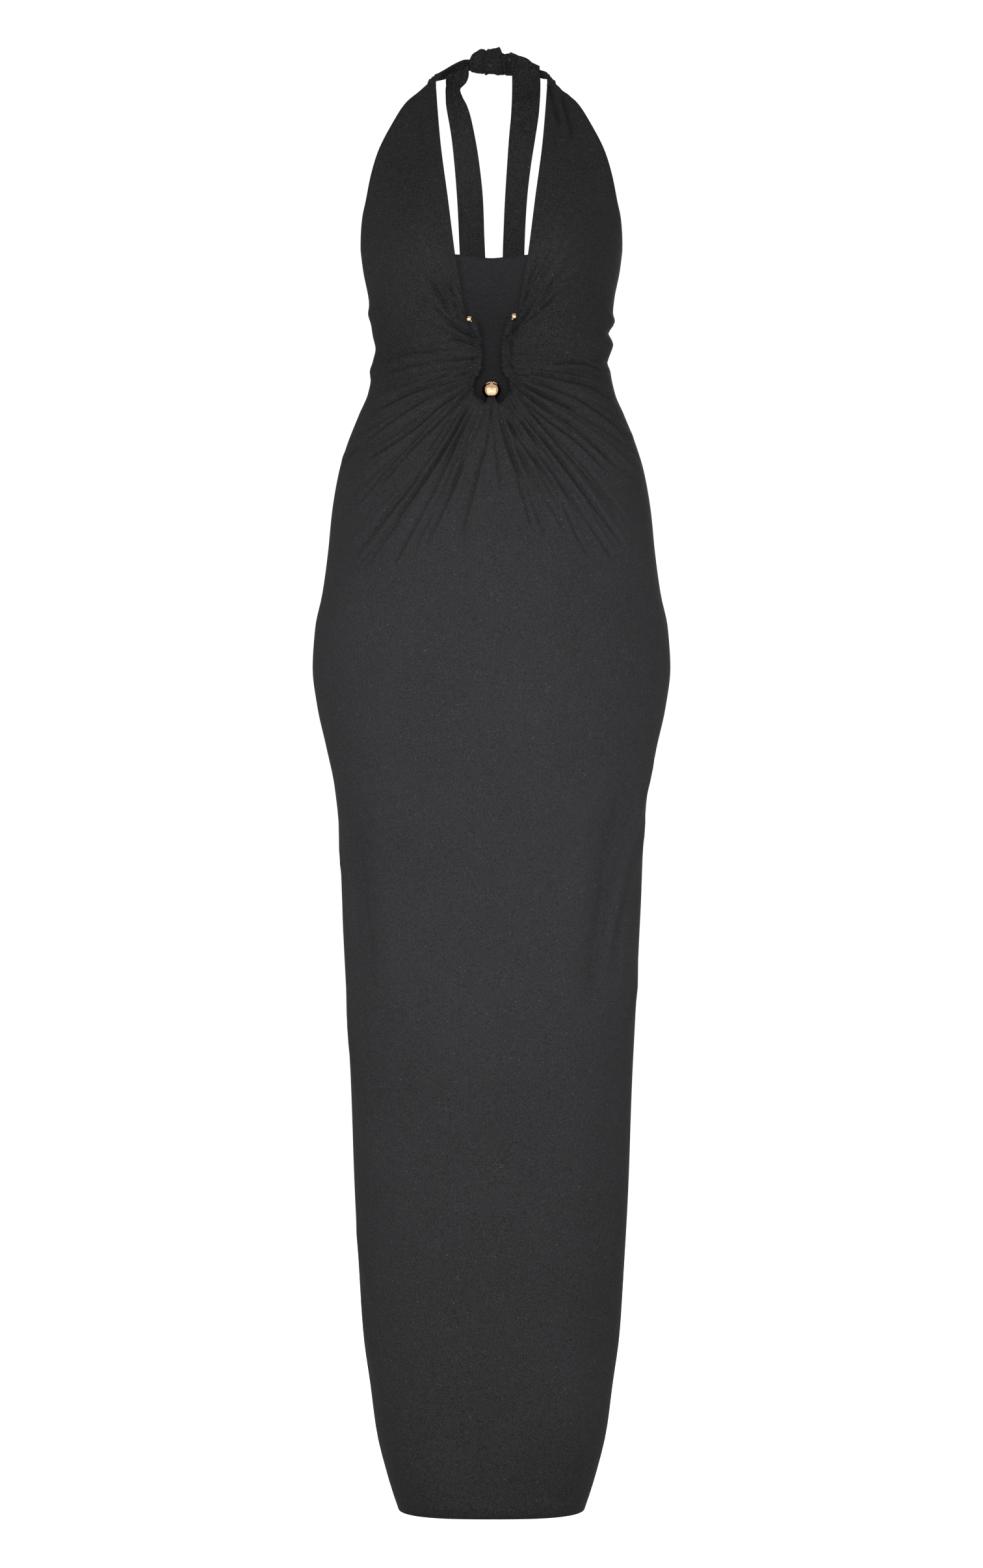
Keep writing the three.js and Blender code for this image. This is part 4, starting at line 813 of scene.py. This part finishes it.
def edge_loop_faces(rim, inner_of):
    """Faces from the outer skin's edge to the inner one's, which has every other point of it."""
    before = {int(q): int(p) for p, q in rim}
    faces = []
    for p, q in rim.tolist():
        low_p = inner_of[p] if inner_of[p] >= 0 else inner_of[before[p]]
        low_q = inner_of[q] if inner_of[q] >= 0 else low_p
        faces.append([p, low_p, low_q, q] if low_p != low_q else [p, low_p, q])
    return faces


def cloth_shell(name, across, z, out, grids, hem, creases):
    """A closed thin wall over the form, from grids of points with shared edges."""
    normal = form_normal(across, z)
    skin = form_point(across, z)
    sunk = creased(skin, creases)
    out = out - sunk
    # the inner face is coarser, so it keeps below the lowest point near each of its own
    low = out.copy()
    for grid in grids:
        wide = np.pad(out[grid], ((2, 2), (1, 1)), mode="edge")
        rows, columns = grid.shape
        lowest = np.min([wide[i:i + rows, j:j + columns] for i in range(5) for j in range(3)], axis=0)
        np.minimum.at(low, grid.ravel(), lowest.ravel())
    faces = np.concatenate([grid_faces(grid) for grid in grids])
    half = np.stack([faces, np.roll(faces, -1, axis=1)], -1).reshape(-1, 2).astype(np.int64)
    count = len(across)
    rim = half[~np.isin(half[:, 0] * count + half[:, 1], half[:, 1] * count + half[:, 0])]
    at_rim = np.zeros(count, bool)
    at_rim[rim.ravel()] = True
    tuck = np.where(at_rim, RIM_ROUNDING * JERSEY_THICK, 0)
    outer = skin + normal * (out - tuck)[:, None]
    inner = skin + normal * (low - JERSEY_THICK + tuck)[:, None]
    outer[hem, 2] = z[hem]
    inner[hem, 2] = z[hem]
    kept = np.unique(np.concatenate([grid[::2, ::2].ravel() for grid in grids]))
    inner_of = np.full(count, -1)
    inner_of[kept] = count + np.arange(len(kept))
    under = np.concatenate([grid_faces(inner_of[grid[::2, ::2]]) for grid in grids])[:, ::-1]
    all_faces = faces.tolist() + under.tolist() + edge_loop_faces(rim, inner_of)
    uv = np.stack([across * UNROLLED_QUARTER * MM, z * MM], -1)
    # Tone on the outer face: the jersey's paleness and a painted pool of light round the hips, less
    # painted shade down in the creases; on the inner face, a paler wrong side with painted light over
    # the shade inside the dress
    tone = np.concatenate([stretch_and_light_pool_tone(z) - CREASE_PAINTED_SHADE * sunk, np.full(len(kept), WRONG_SIDE_AND_PAINTED_LIGHT)])
    points = np.concatenate([outer, inner[kept]])
    return mesh_object(name, points, all_faces, np.concatenate([uv, uv[kept]]), tone)


def make_front():
    """Both halves of the fan, which share their middle ray, and the skirt below its foot."""
    across, z, out = [], [], []
    ids, foot = {}, {}
    for side in (-1, 1):
        a, h, o = fan_half(side)
        o = o + drape(a, h)
        grid = np.arange(a.size).reshape(a.shape) + sum(len(p) for p in across)
        if side > 0:
            grid = grid - RINGS
            grid[0] = ids[-1][0]
            a, h, o = a[1:], h[1:], o[1:]
        across.append(a.ravel())
        z.append(h.ravel())
        out.append(o.ravel())
        ids[side] = grid
    across, z, out = (np.concatenate(p) for p in (across, z, out))
    for side in (-1, 1):
        ends = ids[side][:, -1]
        foot[side] = ends[np.abs(z[ends] - FAN_FOOT_Z) < 1e-6]
    tops = np.concatenate([foot[-1][::-1], foot[1][1:]])
    rows = FAN_FOOT_Z - (FAN_FOOT_Z - HEM_Z) * np.linspace(0, 1, SKIRT_ROWS)[1:]
    skirt_across, skirt_z = np.meshgrid(across[tops], rows[::-1], indexing="ij")
    start = len(across)
    grid = start + np.arange(skirt_across.size).reshape(skirt_across.shape)
    skirt = np.concatenate([grid, tops[:, None]], 1)
    across = np.concatenate([across, skirt_across.ravel()])
    z = np.concatenate([z, skirt_z.ravel()])
    out = np.concatenate([out, drape(skirt_across, skirt_z).ravel()])
    grids = [ids[-1], ids[1][::-1], skirt]
    creases = CREASES_RIGHT + CREASES_LEFT
    return cloth_shell("dress_front", across, z, out, grids, z == HEM_Z, creases)


# The back runs in under the front at the side seams: across, out
SEAM_LAP = [(-0.016, -1.6), (-0.0012, -1.6), (0.0032, 0)]
BACK_COLUMNS, BACK_ROWS = 119, 221


def make_back():
    """One panel from side seam to side seam, closer rows towards its top edge."""
    top_table = np.array(BACK_TOP_EDGE, float)
    top_edge = smooth_column(top_table[:, 0], top_table[:, 1])
    lap, sunk = np.array(SEAM_LAP).T
    between = np.linspace(1, 3, BACK_COLUMNS)[1:-1]
    across = np.r_[1 + lap, between, 3 - lap[::-1]][:, None]
    below = np.r_[sunk, 0 * between, sunk[::-1]][:, None]
    top = top_edge(np.minimum(1, np.abs(across - 2)))
    share = np.linspace(0, 1, BACK_ROWS)[None]
    z = lerp(HEM_Z, top, lerp(share, 1 - (1 - share) ** 1.5, 0.6))
    across = np.broadcast_to(across, z.shape)
    ids = np.arange(z.size).reshape(z.shape)
    flat = z.ravel()
    out = (drape(across, z) + below).ravel()
    return cloth_shell("dress_back", across.ravel(), flat, out, [ids], flat == HEM_Z, CREASES_BACK)


def tube(name, rings, inner=None, uv=None, tone=None):
    """A closed body through rings of points, with a channel through it where inner is given."""
    rings = np.asarray(rings)
    steps, corners = rings.shape[:2]
    ids = np.arange(steps * corners).reshape(steps, corners)
    around = np.concatenate([ids, ids[:, :1]], 1)

    def skin(grid):
        return np.stack([grid[:-1, :-1], grid[:-1, 1:], grid[1:, 1:], grid[1:, :-1]], -1).reshape(-1, 4)

    points, faces = [rings.reshape(-1, 3)], [f for f in skin(around)]
    if inner is None:
        faces += [ids[0][::-1], ids[-1]]
    else:
        points.append(np.asarray(inner).reshape(-1, 3))
        shift = steps * corners
        faces += [f[::-1] + shift for f in skin(around)]
        for row, way in ((0, 1), (-1, -1)):
            a = around[row]
            ring = np.stack([a[:-1], a[:-1] + shift, a[1:] + shift, a[1:]], -1)
            faces += [f[::way] for f in ring]
    points = np.concatenate(points)
    if uv is not None:
        uv = np.asarray(uv).reshape(-1, 2)
        if inner is not None:
            uv = np.concatenate([uv, uv])
    return mesh_object(name, points, faces, uv, tone)


def keyhole_points(distance):
    """The line that the bar follows, by signed distance from the bottom of the keyhole."""
    distance = np.atleast_1d(np.asarray(distance, float))
    side = np.where(distance < 0, -1, 1)
    d = np.abs(distance)
    here, ahead, behind = plunge.at(d), plunge.at(d + 1), plunge.at(np.maximum(0, d - 1))
    along = np.where((d < 1)[:, None], [1, 0], unit(ahead - behind))
    offset = CASING_HALF_WIDTH + CASING_EDGE_GAP
    x = np.maximum(0, here[:, 0] - along[:, 1] * offset)
    z = here[:, 1] + along[:, 0] * offset
    across = side * across_at(np.maximum(0.01, x), z)
    point = form_point(across, z)
    point[:, 0] = side * x
    return point - form_normal(across, z) * CASING_SUNK


def keyhole_frame(distance):
    """Places along the casing's middle line, with the ways across it and out of the front."""
    centre = keyhole_points(distance)
    along = unit(keyhole_points(distance + 0.6) - keyhole_points(distance - 0.6))
    face = unit(np.array([0, -1, 0]) + along * along[:, 1:2])
    return centre, np.cross(face, along), face


def keyhole_tube(distance, angle, wide, deep, shift=0):
    """Rings round the casing's middle line."""
    centre, flat, face = keyhole_frame(distance)
    across = wide * np.cos(angle) + shift
    return (
        centre[:, None]
        + flat[:, None] * across[..., None]
        + face[:, None] * (deep * np.sin(angle))[..., None]
    )


def corners_round(count):
    """Angles of a ring's corners."""
    return (TURN * np.arange(count) / count)[None]


CASING_STEPS, CASING_CORNERS = 520, 28
CASING_FULLNESS = 1.5  # cloth gathered into each length of it
RUCHE_SEED = 11
RUCHE_POSTS = 44       # places along the casing where its unevenness changes


def make_casing():
    """A ruched tube with the bar's bore through it."""
    distance = np.linspace(-CASED_TOP[-1], CASED_TOP[1], CASING_STEPS)
    angle = corners_round(CASING_CORNERS)
    chance = np.random.RandomState(RUCHE_SEED)
    posts = np.linspace(distance[0], distance[-1], RUCHE_POSTS)

    def uneven(low, high):
        return np.interp(distance, posts, chance.uniform(low, high, len(posts)))

    pitch = RUCHE_PITCH * uneven(0.65, 1.45)
    phase = np.cumsum(TURN * (distance[1] - distance[0]) / pitch)[:, None]
    depth = uneven(0.45, 1.2)[:, None]
    slant = 1.1 * np.sin(angle + uneven(-1.5, 1.5)[:, None])
    pinch = (0.5 + 0.5 * np.cos(phase + slant)) ** 2.2
    puffs = uneven(-0.9, 0.6)[:, None] * np.clip(np.cos(angle), 0, 1)
    small = 0.3 * np.sin(2.3 * phase + 2 * angle) + puffs
    from_end = np.minimum(distance - distance[0], distance[-1] - distance)[:, None]
    grown = -RUCHE_DEPTH * depth * pinch + small - END_DRAWN_IN * (1 - ease(0, 6, from_end))
    lip = lip_at(distance)[:, None]
    wider, deeper = LIP_WIDER * lip, LIP_DEEPER * lip
    outer = keyhole_tube(
        distance, angle, CASING_HALF_WIDTH + grown + wider, CASING_HALF_DEPTH + grown + deeper, wider
    )
    bore = np.full_like(grown, CASING_BORE)
    inner = keyhole_tube(distance, angle, bore, bore)
    let_out = distance[:, None] * CASING_FULLNESS
    uv = np.stack(np.broadcast_arrays(let_out * MM, angle * CASING_HALF_WIDTH * MM), -1)
    return tube("plunge_casing", outer, inner, uv)


def frames_along(rows, steps):
    """Centres, tangents and the other columns of a path table, finely spaced."""
    rows = np.array(rows, float)
    path = Path(rows[:, :3])
    at = np.linspace(0, len(rows) - 1, steps)
    centre = path.at_row(at)
    along = unit(np.gradient(centre, axis=0))
    values = [smooth_column(np.arange(len(rows)), rows[:, i])(at) for i in range(3, rows.shape[1])]
    travelled = np.r_[0, np.cumsum(np.linalg.norm(np.diff(centre, axis=0), axis=1))]
    return centre, along, values, travelled


SHADED_NAPE = -0.8     # tone of the ties round the neck
SHADED_FROM = 15       # and how far down the loose ends it goes
SHADED_TO = 130
STRIP_CUTS = 30        # across a strip's width
TIE_STEPS, TAIL_STEPS = 90, 170
TAIL_HOLLOW = 3        # which column of a loose end's values is how hollow it is


def strip(name, rows, facing, hollow_column, seam_side, steps, pleats=()):
    """A flat tube of doubled jersey, seamed along one edge."""
    centre, along, values, travelled = frames_along(rows, steps)
    wide, out = facing(along, values)
    half = values[0][:, None] / 2
    hollow = values[hollow_column][:, None] if hollow_column else 0
    s = np.sin(np.linspace(-1, 1, STRIP_CUTS + 1) * QUARTER)[None] * np.ones_like(half)
    wave = 0.35 * np.cos(3 * math.pi * s + travelled[:, None] / 31)
    wave = wave + 0.22 * np.sin(travelled[:, None] / 8.3 + 2.5 * s) * (np.abs(s) > 0)
    bend = hollow * (1 - s * s) + wave
    for off, width, depth, until in pleats:
        let_out = (1 - ease(until - 7, until, travelled))[:, None]
        bend = bend + depth * bell(s * half - off, width) * let_out
    thick = TIE_THICK / 2 * np.sqrt(np.clip(1 - np.abs(s) ** 9, 0.02, 1))
    from_edge = half * (1 - seam_side * s)
    sink = TIE_SEAM_SINK * bell(from_edge - TIE_SEAM_INSET, 0.7)
    puffed = 0.16 * bell(from_edge - TIE_SEAM_INSET + 1.6, 1.1)

    def side_of(sign):
        lift = bend + sign * (thick - sink + puffed)
        return centre[:, None] + wide[:, None] * (s * half)[..., None] + out[:, None] * lift[..., None]

    rings = np.concatenate([side_of(1), side_of(-1)[:, ::-1]], 1)
    u = np.concatenate([s * half, (s * half)[:, ::-1]], 1)
    uv = np.stack([u * MM, np.broadcast_to(travelled[:, None] * MM, u.shape)], -1)
    shade = np.full(steps, SHADED_NAPE)
    if hollow_column:
        shade = shade * (1 - ease(SHADED_FROM, SHADED_TO, travelled))
    return tube(name, rings, None, uv, np.repeat(shade, rings.shape[1]))


def make_tie(name, rows, side):
    """A tie round the neck, leaning out by its table."""
    def facing(along, values):
        lean = np.radians(values[1])[:, None]
        ahead = unit(along * [1, 1, 0])
        level = np.stack([ahead[:, 1], -ahead[:, 0], 0 * ahead[:, 0]], 1) * -side
        wide = np.array([0, 0, 1]) * np.cos(lean) + level * np.sin(lean)
        return wide, np.cross(wide, ahead)

    return strip(name, rows, facing, None, -1, TIE_STEPS)


def make_tail(name, rows, seam_side, pleats):
    """A loose end, hanging from the knot."""
    def facing(along, values):
        turn, tip = np.radians(values[1]), np.radians(values[2])
        wide = np.stack([np.cos(turn), -np.sin(turn), -np.tan(tip)], 1)
        return wide, unit(np.cross(wide * [1, 1, 0], along))

    return strip(name, rows, facing, TAIL_HOLLOW, seam_side, TAIL_STEPS, pleats)


KNOT_RADIUS = 11       # about, for laying the cloth out on it


def make_knot():
    """Two laps of cloth crossing, each with a groove and a rounded edge, and small wrinkles."""
    steps, corners = 90, 80
    rows = np.array(KNOT, float)
    x = np.linspace(rows[0, 0], rows[-1, 0], steps)[:, None]
    y, z, up, down, thick = (smooth_column(rows[:, 0], rows[:, i])(x) for i in range(1, 6))
    angle = corners_round(corners)
    lap = -6 + 1.8 * np.sin(angle + 0.8)
    second_lap = 12.2 + 1.4 * np.sin(angle + 2.4)
    over = -1.3 * bell(x - lap + 0.6, 0.9) + 0.9 * bell(x - lap - 1.6, 1.7)
    over = over - 1.1 * bell(x - second_lap, 0.9) + 0.5 * bell(x - second_lap + 2, 1.6)
    wrinkle = 0.4 * np.sin(x / 2.3 + 1.6 * np.sin(angle)) * bell(x + 1, 16)
    wrinkle = wrinkle + 0.16 * np.sin(x / 1.1 - 2.2 * np.sin(angle + 1) + 1)
    reach = np.where(np.sin(angle) > 0, up, down)
    end = np.minimum(x - rows[0, 0], rows[-1, 0] - x)
    close = np.sqrt(np.clip(0.35 + end / 3.2, 0, 1))
    grow = (over + wrinkle) * close
    ring = np.stack(np.broadcast_arrays(
        x,
        y + (thick / 2 * close + grow) * np.cos(angle),
        z + (reach * close + grow) * np.sin(angle),
    ), -1)
    uv = np.stack(np.broadcast_arrays(angle * KNOT_RADIUS * MM, x * MM), -1)
    return tube("nape_knot", ring, None, uv, np.full(steps * corners, SHADED_NAPE))


# ---- the metal bar, modelled from primitives ----

def select_nothing():
    for other in bpy.context.scene.objects:
        other.select_set(False)


def settled():
    """The primitive just added, with its place applied."""
    bpy.ops.object.transform_apply(location=True, rotation=True, scale=True)
    return bpy.context.object


def add_ball(centre, radius, segments):
    select_nothing()
    bpy.ops.mesh.primitive_uv_sphere_add(
        segments=segments, ring_count=segments // 2, radius=radius * MM, location=Vector(centre) * MM
    )
    return settled()


def add_collar(centre):
    """A small rounded ring, as where the ball is soldered on."""
    select_nothing()
    bpy.ops.mesh.primitive_torus_add(
        major_radius=COLLAR_RADIUS * MM, minor_radius=COLLAR_THICK * MM,
        major_segments=40, minor_segments=14, location=Vector(centre) * MM,
    )
    return settled()


def add_stem(y, low, high):
    """The post between the bar and the large ball."""
    select_nothing()
    bpy.ops.mesh.primitive_cylinder_add(
        vertices=24, radius=STEM_RADIUS * MM, depth=(high - low) * MM,
        location=Vector((0, y, (high + low) / 2)) * MM,
    )
    return settled()


TIP_FORWARD = 2.4      # the tip balls stand in front of the bar's line
BAR_STEPS, BAR_CORNERS = 150, 16


def make_bar():
    """The bent rod, swept along the casing's line, with its balls, stem and collar."""
    end = CASING_TOP - 1
    distance = np.linspace(-end, end, BAR_STEPS)
    size = np.full((BAR_STEPS, BAR_CORNERS), float(BAR_RADIUS))
    rings = keyhole_tube(distance, corners_round(BAR_CORNERS), size, size)
    bottom = keyhole_points(0.0)[0]
    tips = {}
    for side, tip_z in TIP_BALLS_Z.items():
        tip_y = keyhole_points(side * CASING_TOP)[0, 1] - TIP_FORWARD
        tips[side] = np.array([side * TIP_BALL_X, tip_y, tip_z])
        ring = rings[0] if side < 0 else rings[-1]
        tip = ring - keyhole_points(side * end)[0] + tips[side]
        between = np.array([lerp(ring, tip, t) for t in (0.35, 0.7, 1.0)])
        rings = np.concatenate([between[::-1], rings] if side < 0 else [rings, between])
    bar = tube("plunge_bar_gilt", rings)
    ball_y = bottom[1] + BALL_SET_BACK
    ball_foot = CENTRE_BALL_Z - CENTRE_BALL_RADIUS
    pieces = [
        add_ball((0, ball_y, CENTRE_BALL_Z), CENTRE_BALL_RADIUS, 64),
        add_ball(tips[-1], TIP_BALL_RADIUS, 32),
        add_ball(tips[1], TIP_BALL_RADIUS, 32),
        add_stem(ball_y, bottom[2], ball_foot + 1.5),
        add_collar((0, ball_y, ball_foot + 0.3)),
    ]
    select_nothing()
    for piece in [bar, *pieces]:
        piece.select_set(True)
    bpy.context.view_layer.objects.active = bar
    bpy.ops.object.join()
    bar = bpy.context.object
    bpy.ops.object.shade_smooth_by_angle(angle=math.radians(50))
    return bar


# ---- materials ----

def new_group(name, inputs, outputs):
    """A shader node group with named sockets, and its two end nodes."""
    group = bpy.data.node_groups.new(name, "ShaderNodeTree")
    for socket, kind, default in inputs:
        made = group.interface.new_socket(name=socket, in_out="INPUT", socket_type=kind)
        made.default_value = default
    for socket, kind in outputs:
        group.interface.new_socket(name=socket, in_out="OUTPUT", socket_type=kind)
    return group, group.nodes.new("NodeGroupInput"), group.nodes.new("NodeGroupOutput")


def node(tree, kind, **values):
    made = tree.nodes.new(kind)
    for name, value in values.items():
        setattr(made, name, value)
    return made


def maths(tree, operation, a, b=None):
    """One sum of two sockets or numbers, as a node."""
    made = node(tree, "ShaderNodeMath", operation=operation)
    for socket, value in zip(made.inputs, (a, b)):
        if value is None:
            continue
        if isinstance(value, (int, float)):
            socket.default_value = value
        else:
            tree.links.new(value, socket)
    return made.outputs[0]


def ranged(tree, value, low, high, to_low, to_high):
    """A smooth step from one range to another."""
    made = node(tree, "ShaderNodeMapRange", interpolation_type="SMOOTHSTEP")
    tree.links.new(value, made.inputs["Value"])
    limits = {"From Min": low, "From Max": high, "To Min": to_low, "To Max": to_high}
    for name, number in limits.items():
        made.inputs[name].default_value = number
    return made.outputs["Result"]


def noise(tree, coordinates, scale, detail, rough=0.5):
    made = node(tree, "ShaderNodeTexNoise")
    made.inputs["Scale"].default_value = scale
    made.inputs["Detail"].default_value = detail
    made.inputs["Roughness"].default_value = rough
    tree.links.new(coordinates.outputs["Object"], made.inputs["Vector"])
    return made.outputs["Fac"]


COURSE_SHARE = 1.25        # courses to wales in the knit
GRAIN = 5                  # strength of the cloth's fine bloom
LINT_SPACING = 210         # specks to the metre
LINT_COLOR = (0.22, 0.22, 0.22, 1)


def jersey_group():
    """Fine knit, a soft mottle and a few specks of lint, over the cloth's own UV map."""
    group, put_in, put_out = new_group(
        "jersey_surface",
        [
            ("Cloth", "NodeSocketColor", (0.03, 0.03, 0.03, 1)),
            ("Bloom", "NodeSocketColor", (0.05, 0.05, 0.05, 1)),
            ("Wale", "NodeSocketFloat", 0.0009),
            ("Lint", "NodeSocketFloat", 0.5),
            ("Mottle", "NodeSocketFloat", 0.5),
        ],
        [("Color", "NodeSocketColor"), ("Roughness", "NodeSocketFloat"), ("Height", "NodeSocketFloat")],
    )
    links = group.links

    def add(a, b):
        return maths(group, "ADD", a, b)

    def times(a, b):
        return maths(group, "MULTIPLY", a, b)

    coordinates = node(group, "ShaderNodeTexCoord")
    split = node(group, "ShaderNodeSeparateXYZ")
    links.new(coordinates.outputs["UV"], split.inputs[0])
    wales = maths(group, "DIVIDE", split.outputs["X"], put_in.outputs["Wale"])
    courses = maths(group, "DIVIDE", split.outputs["Y"], put_in.outputs["Wale"])
    wale = maths(group, "SINE", times(wales, TURN))
    waved = times(maths(group, "ABSOLUTE", wale), 1.6)
    course = maths(group, "SINE", add(times(courses, TURN * COURSE_SHARE), waved))

    broad = noise(group, coordinates, 9, 2)
    mottle = noise(group, coordinates, 170, 3, 0.6)
    fibre = noise(group, coordinates, 800, 2, 0.6)
    specks = node(group, "ShaderNodeTexVoronoi", feature="F1")
    specks.inputs["Scale"].default_value = LINT_SPACING
    links.new(coordinates.outputs["Object"], specks.inputs["Vector"])
    chosen = maths(group, "GREATER_THAN", mottle, 0.56)
    speck = ranged(group, specks.outputs["Distance"], 0.05, 0.13, 1, 0)
    lint = times(times(speck, chosen), put_in.outputs["Lint"])

    clouded = add(times(mottle, 0.55), times(broad, 0.45))
    clouded = times(ranged(group, clouded, 0.3, 0.72, -0.5, 0.5), put_in.outputs["Mottle"])
    grain = times(maths(group, "SUBTRACT", fibre, 0.5), GRAIN)
    # The tone attribute read here carries the jersey's paleness where drawn tight, and painted light and
    # shade: a pool of light round the hips, shade in the creases and on the ties and knot at the nape,
    # light on the wrong side of the cloth
    worn = node(group, "ShaderNodeAttribute", attribute_name="tone")
    tone = add(add(clouded, grain), worn.outputs["Fac"])
    mix = node(group, "ShaderNodeMix", data_type="RGBA", clamp_factor=False)
    links.new(tone, mix.inputs["Factor"])
    links.new(put_in.outputs["Cloth"], mix.inputs["A"])
    links.new(put_in.outputs["Bloom"], mix.inputs["B"])
    linted = node(group, "ShaderNodeMix", data_type="RGBA")
    links.new(times(lint, 0.35), linted.inputs["Factor"])
    links.new(mix.outputs["Result"], linted.inputs["A"])
    linted.inputs["B"].default_value = LINT_COLOR
    links.new(linted.outputs["Result"], put_out.inputs["Color"])
    links.new(ranged(group, mottle, 0.3, 0.7, 0.8, 0.95), put_out.inputs["Roughness"])
    knit = add(times(wale, 0.3), times(course, 0.3))
    height = add(add(knit, times(fibre, 0.6)), times(mottle, 1.4))
    links.new(height, put_out.inputs["Height"])
    return group


def new_material(name, group):
    """A material with a surface group feeding its shader's colour and roughness."""
    material = bpy.data.materials.new(name)
    material.use_nodes = True
    tree = material.node_tree
    shader = tree.nodes["Principled BSDF"]
    surface = node(tree, "ShaderNodeGroup", node_tree=group)
    tree.links.new(surface.outputs["Color"], shader.inputs["Base Color"])
    tree.links.new(surface.outputs["Roughness"], shader.inputs["Roughness"])
    return material, shader, surface


def jersey_material(name, group, cloth, bloom, lint):
    material, shader, surface = new_material(name, group)
    tree = material.node_tree
    surface.inputs["Cloth"].default_value = (*cloth, 1)
    surface.inputs["Bloom"].default_value = (*bloom, 1)
    surface.inputs["Lint"].default_value = lint
    bump = node(tree, "ShaderNodeBump")
    bump.inputs["Strength"].default_value = 0.35
    bump.inputs["Distance"].default_value = 0.0003
    tree.links.new(surface.outputs["Height"], bump.inputs["Height"])
    tree.links.new(bump.outputs["Normal"], shader.inputs["Normal"])
    shader.inputs["Specular IOR Level"].default_value = 0.04
    return material


def gilt_material():
    """Polished rose-gold plating with faint wipe marks."""
    group, _, put_out = new_group(
        "gilt_surface", [], [("Color", "NodeSocketColor"), ("Roughness", "NodeSocketFloat")]
    )
    coordinates = node(group, "ShaderNodeTexCoord")
    marks = noise(group, coordinates, 420, 4)
    tint = node(group, "ShaderNodeMix", data_type="RGBA")
    tint.inputs["A"].default_value = (0.46, 0.275, 0.155, 1)
    tint.inputs["B"].default_value = (0.56, 0.36, 0.22, 1)
    group.links.new(marks, tint.inputs["Factor"])
    group.links.new(tint.outputs["Result"], put_out.inputs["Color"])
    group.links.new(ranged(group, marks, 0.35, 0.75, 0.05, 0.13), put_out.inputs["Roughness"])
    material, shader, _ = new_material("gilt_metal", group)
    shader.inputs["Metallic"].default_value = 1
    return material


surface_group = jersey_group()
jersey = jersey_material(
    "black_jersey", surface_group, (0.0084, 0.0084, 0.0088), (0.0133, 0.0133, 0.0142), 0.5
)
# A paler copy of the same jersey for the ties, the knot and the loose ends: painted light over the shade
# they hang in behind the neck
tie_jersey = jersey_material(
    "tie_jersey", surface_group, (0.0128, 0.0128, 0.0133), (0.0198, 0.0198, 0.0205), 0.8
)
gilt = gilt_material()


# ---- the pieces ----

def finish_piece(obj, material, slot, *nodes):
    """Give a piece its material and body, and hide the CAD nodes it stands in for; slot is not used."""
    obj.data.materials.clear()
    obj.data.materials.append(material)
    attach(obj, "root")
    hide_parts(*nodes)
    return obj


front = finish_piece(make_front(), jersey, "jersey", "front")
back = finish_piece(make_back(), jersey, "jersey", "back")
casing = finish_piece(make_casing(), jersey, "jersey", "casing")
bar = finish_piece(make_bar(), gilt, "gilt_metal", "plunge_bar")
tie_right = make_tie("neck_tie_right", TIE_RIGHT, -1)
tie_left = make_tie("neck_tie_left", TIE_LEFT, 1)
knot = make_knot()
tail_right = make_tail("loose_end_right", TAIL_RIGHT, 1, PLEATS_RIGHT)
tail_left = make_tail("loose_end_left", TAIL_LEFT, -1, PLEATS_LEFT)
finish_piece(tie_right, tie_jersey, "tie_jersey", "tie_right")
finish_piece(tie_left, tie_jersey, "tie_jersey", "tie_left")
finish_piece(knot, tie_jersey, "tie_jersey", "knot")
finish_piece(tail_right, tie_jersey, "tie_jersey", "tail_right")
finish_piece(tail_left, tie_jersey, "tie_jersey", "tail_left")


# ---- floor, light and camera ----

FLOOR_SIZE = 400
FLOOR_Z = -1.60


def make_floor():
    select_nothing()
    bpy.ops.mesh.primitive_plane_add(size=FLOOR_SIZE, location=(0, 0, FLOOR_Z))
    floor = bpy.context.object
    floor.name = "studio_floor"
    material = bpy.data.materials.new("pale_floor")
    material.use_nodes = True
    shader = material.node_tree.nodes["Principled BSDF"]
    shader.inputs["Base Color"].default_value = (0.97, 0.97, 0.97, 1)
    shader.inputs["Roughness"].default_value = 0.9
    floor.data.materials.append(material)


def soft_light(name, place, aim, size, power):
    light = bpy.data.lights.new(name, "AREA")
    light.shape = "RECTANGLE"
    light.size, light.size_y = size
    light.energy = power
    lamp = bpy.data.objects.new(name, light)
    lamp.location = place
    lamp.rotation_mode = "QUATERNION"
    lamp.rotation_quaternion = (Vector(aim) - Vector(place)).to_track_quat("-Z", "Y")
    bpy.context.scene.collection.objects.link(lamp)


make_floor()
world = bpy.data.worlds.new("studio")
world.use_nodes = True
background = world.node_tree.nodes["Background"]
background.inputs["Color"].default_value = (1, 1, 1, 1)
background.inputs["Strength"].default_value = 1.05
bpy.context.scene.world = world
# A small light beside the camera reaches into the plunge; the others are broad and soft
middle = (0, -0.1, -0.75)
soft_light("front", (-0.02, -5.0, -0.74), middle, (0.3, 0.3), 215)
soft_light("key", (-1.05, -1.75, -0.6), middle, (1.9, 2.4), 25)
soft_light("fill", (1.05, -1.75, -0.7), middle, (1.9, 2.4), 21)
soft_light("back_light", (0.6, 3.4, 0.6), middle, (2.0, 2.0), 60)
bpy.context.scene.view_settings.view_transform = "Standard"

camera_data = bpy.data.cameras.new("camera")
camera_data.lens = LENS
camera_data.sensor_width = 36
camera_data.clip_end = 100
camera = bpy.data.objects.new("camera", camera_data)
camera.location = (0, CAMERA_Y * MM, CAMERA_Z * MM)
camera.rotation_euler = (QUARTER, 0, 0)
bpy.context.scene.collection.objects.link(camera)
bpy.context.scene.camera = camera
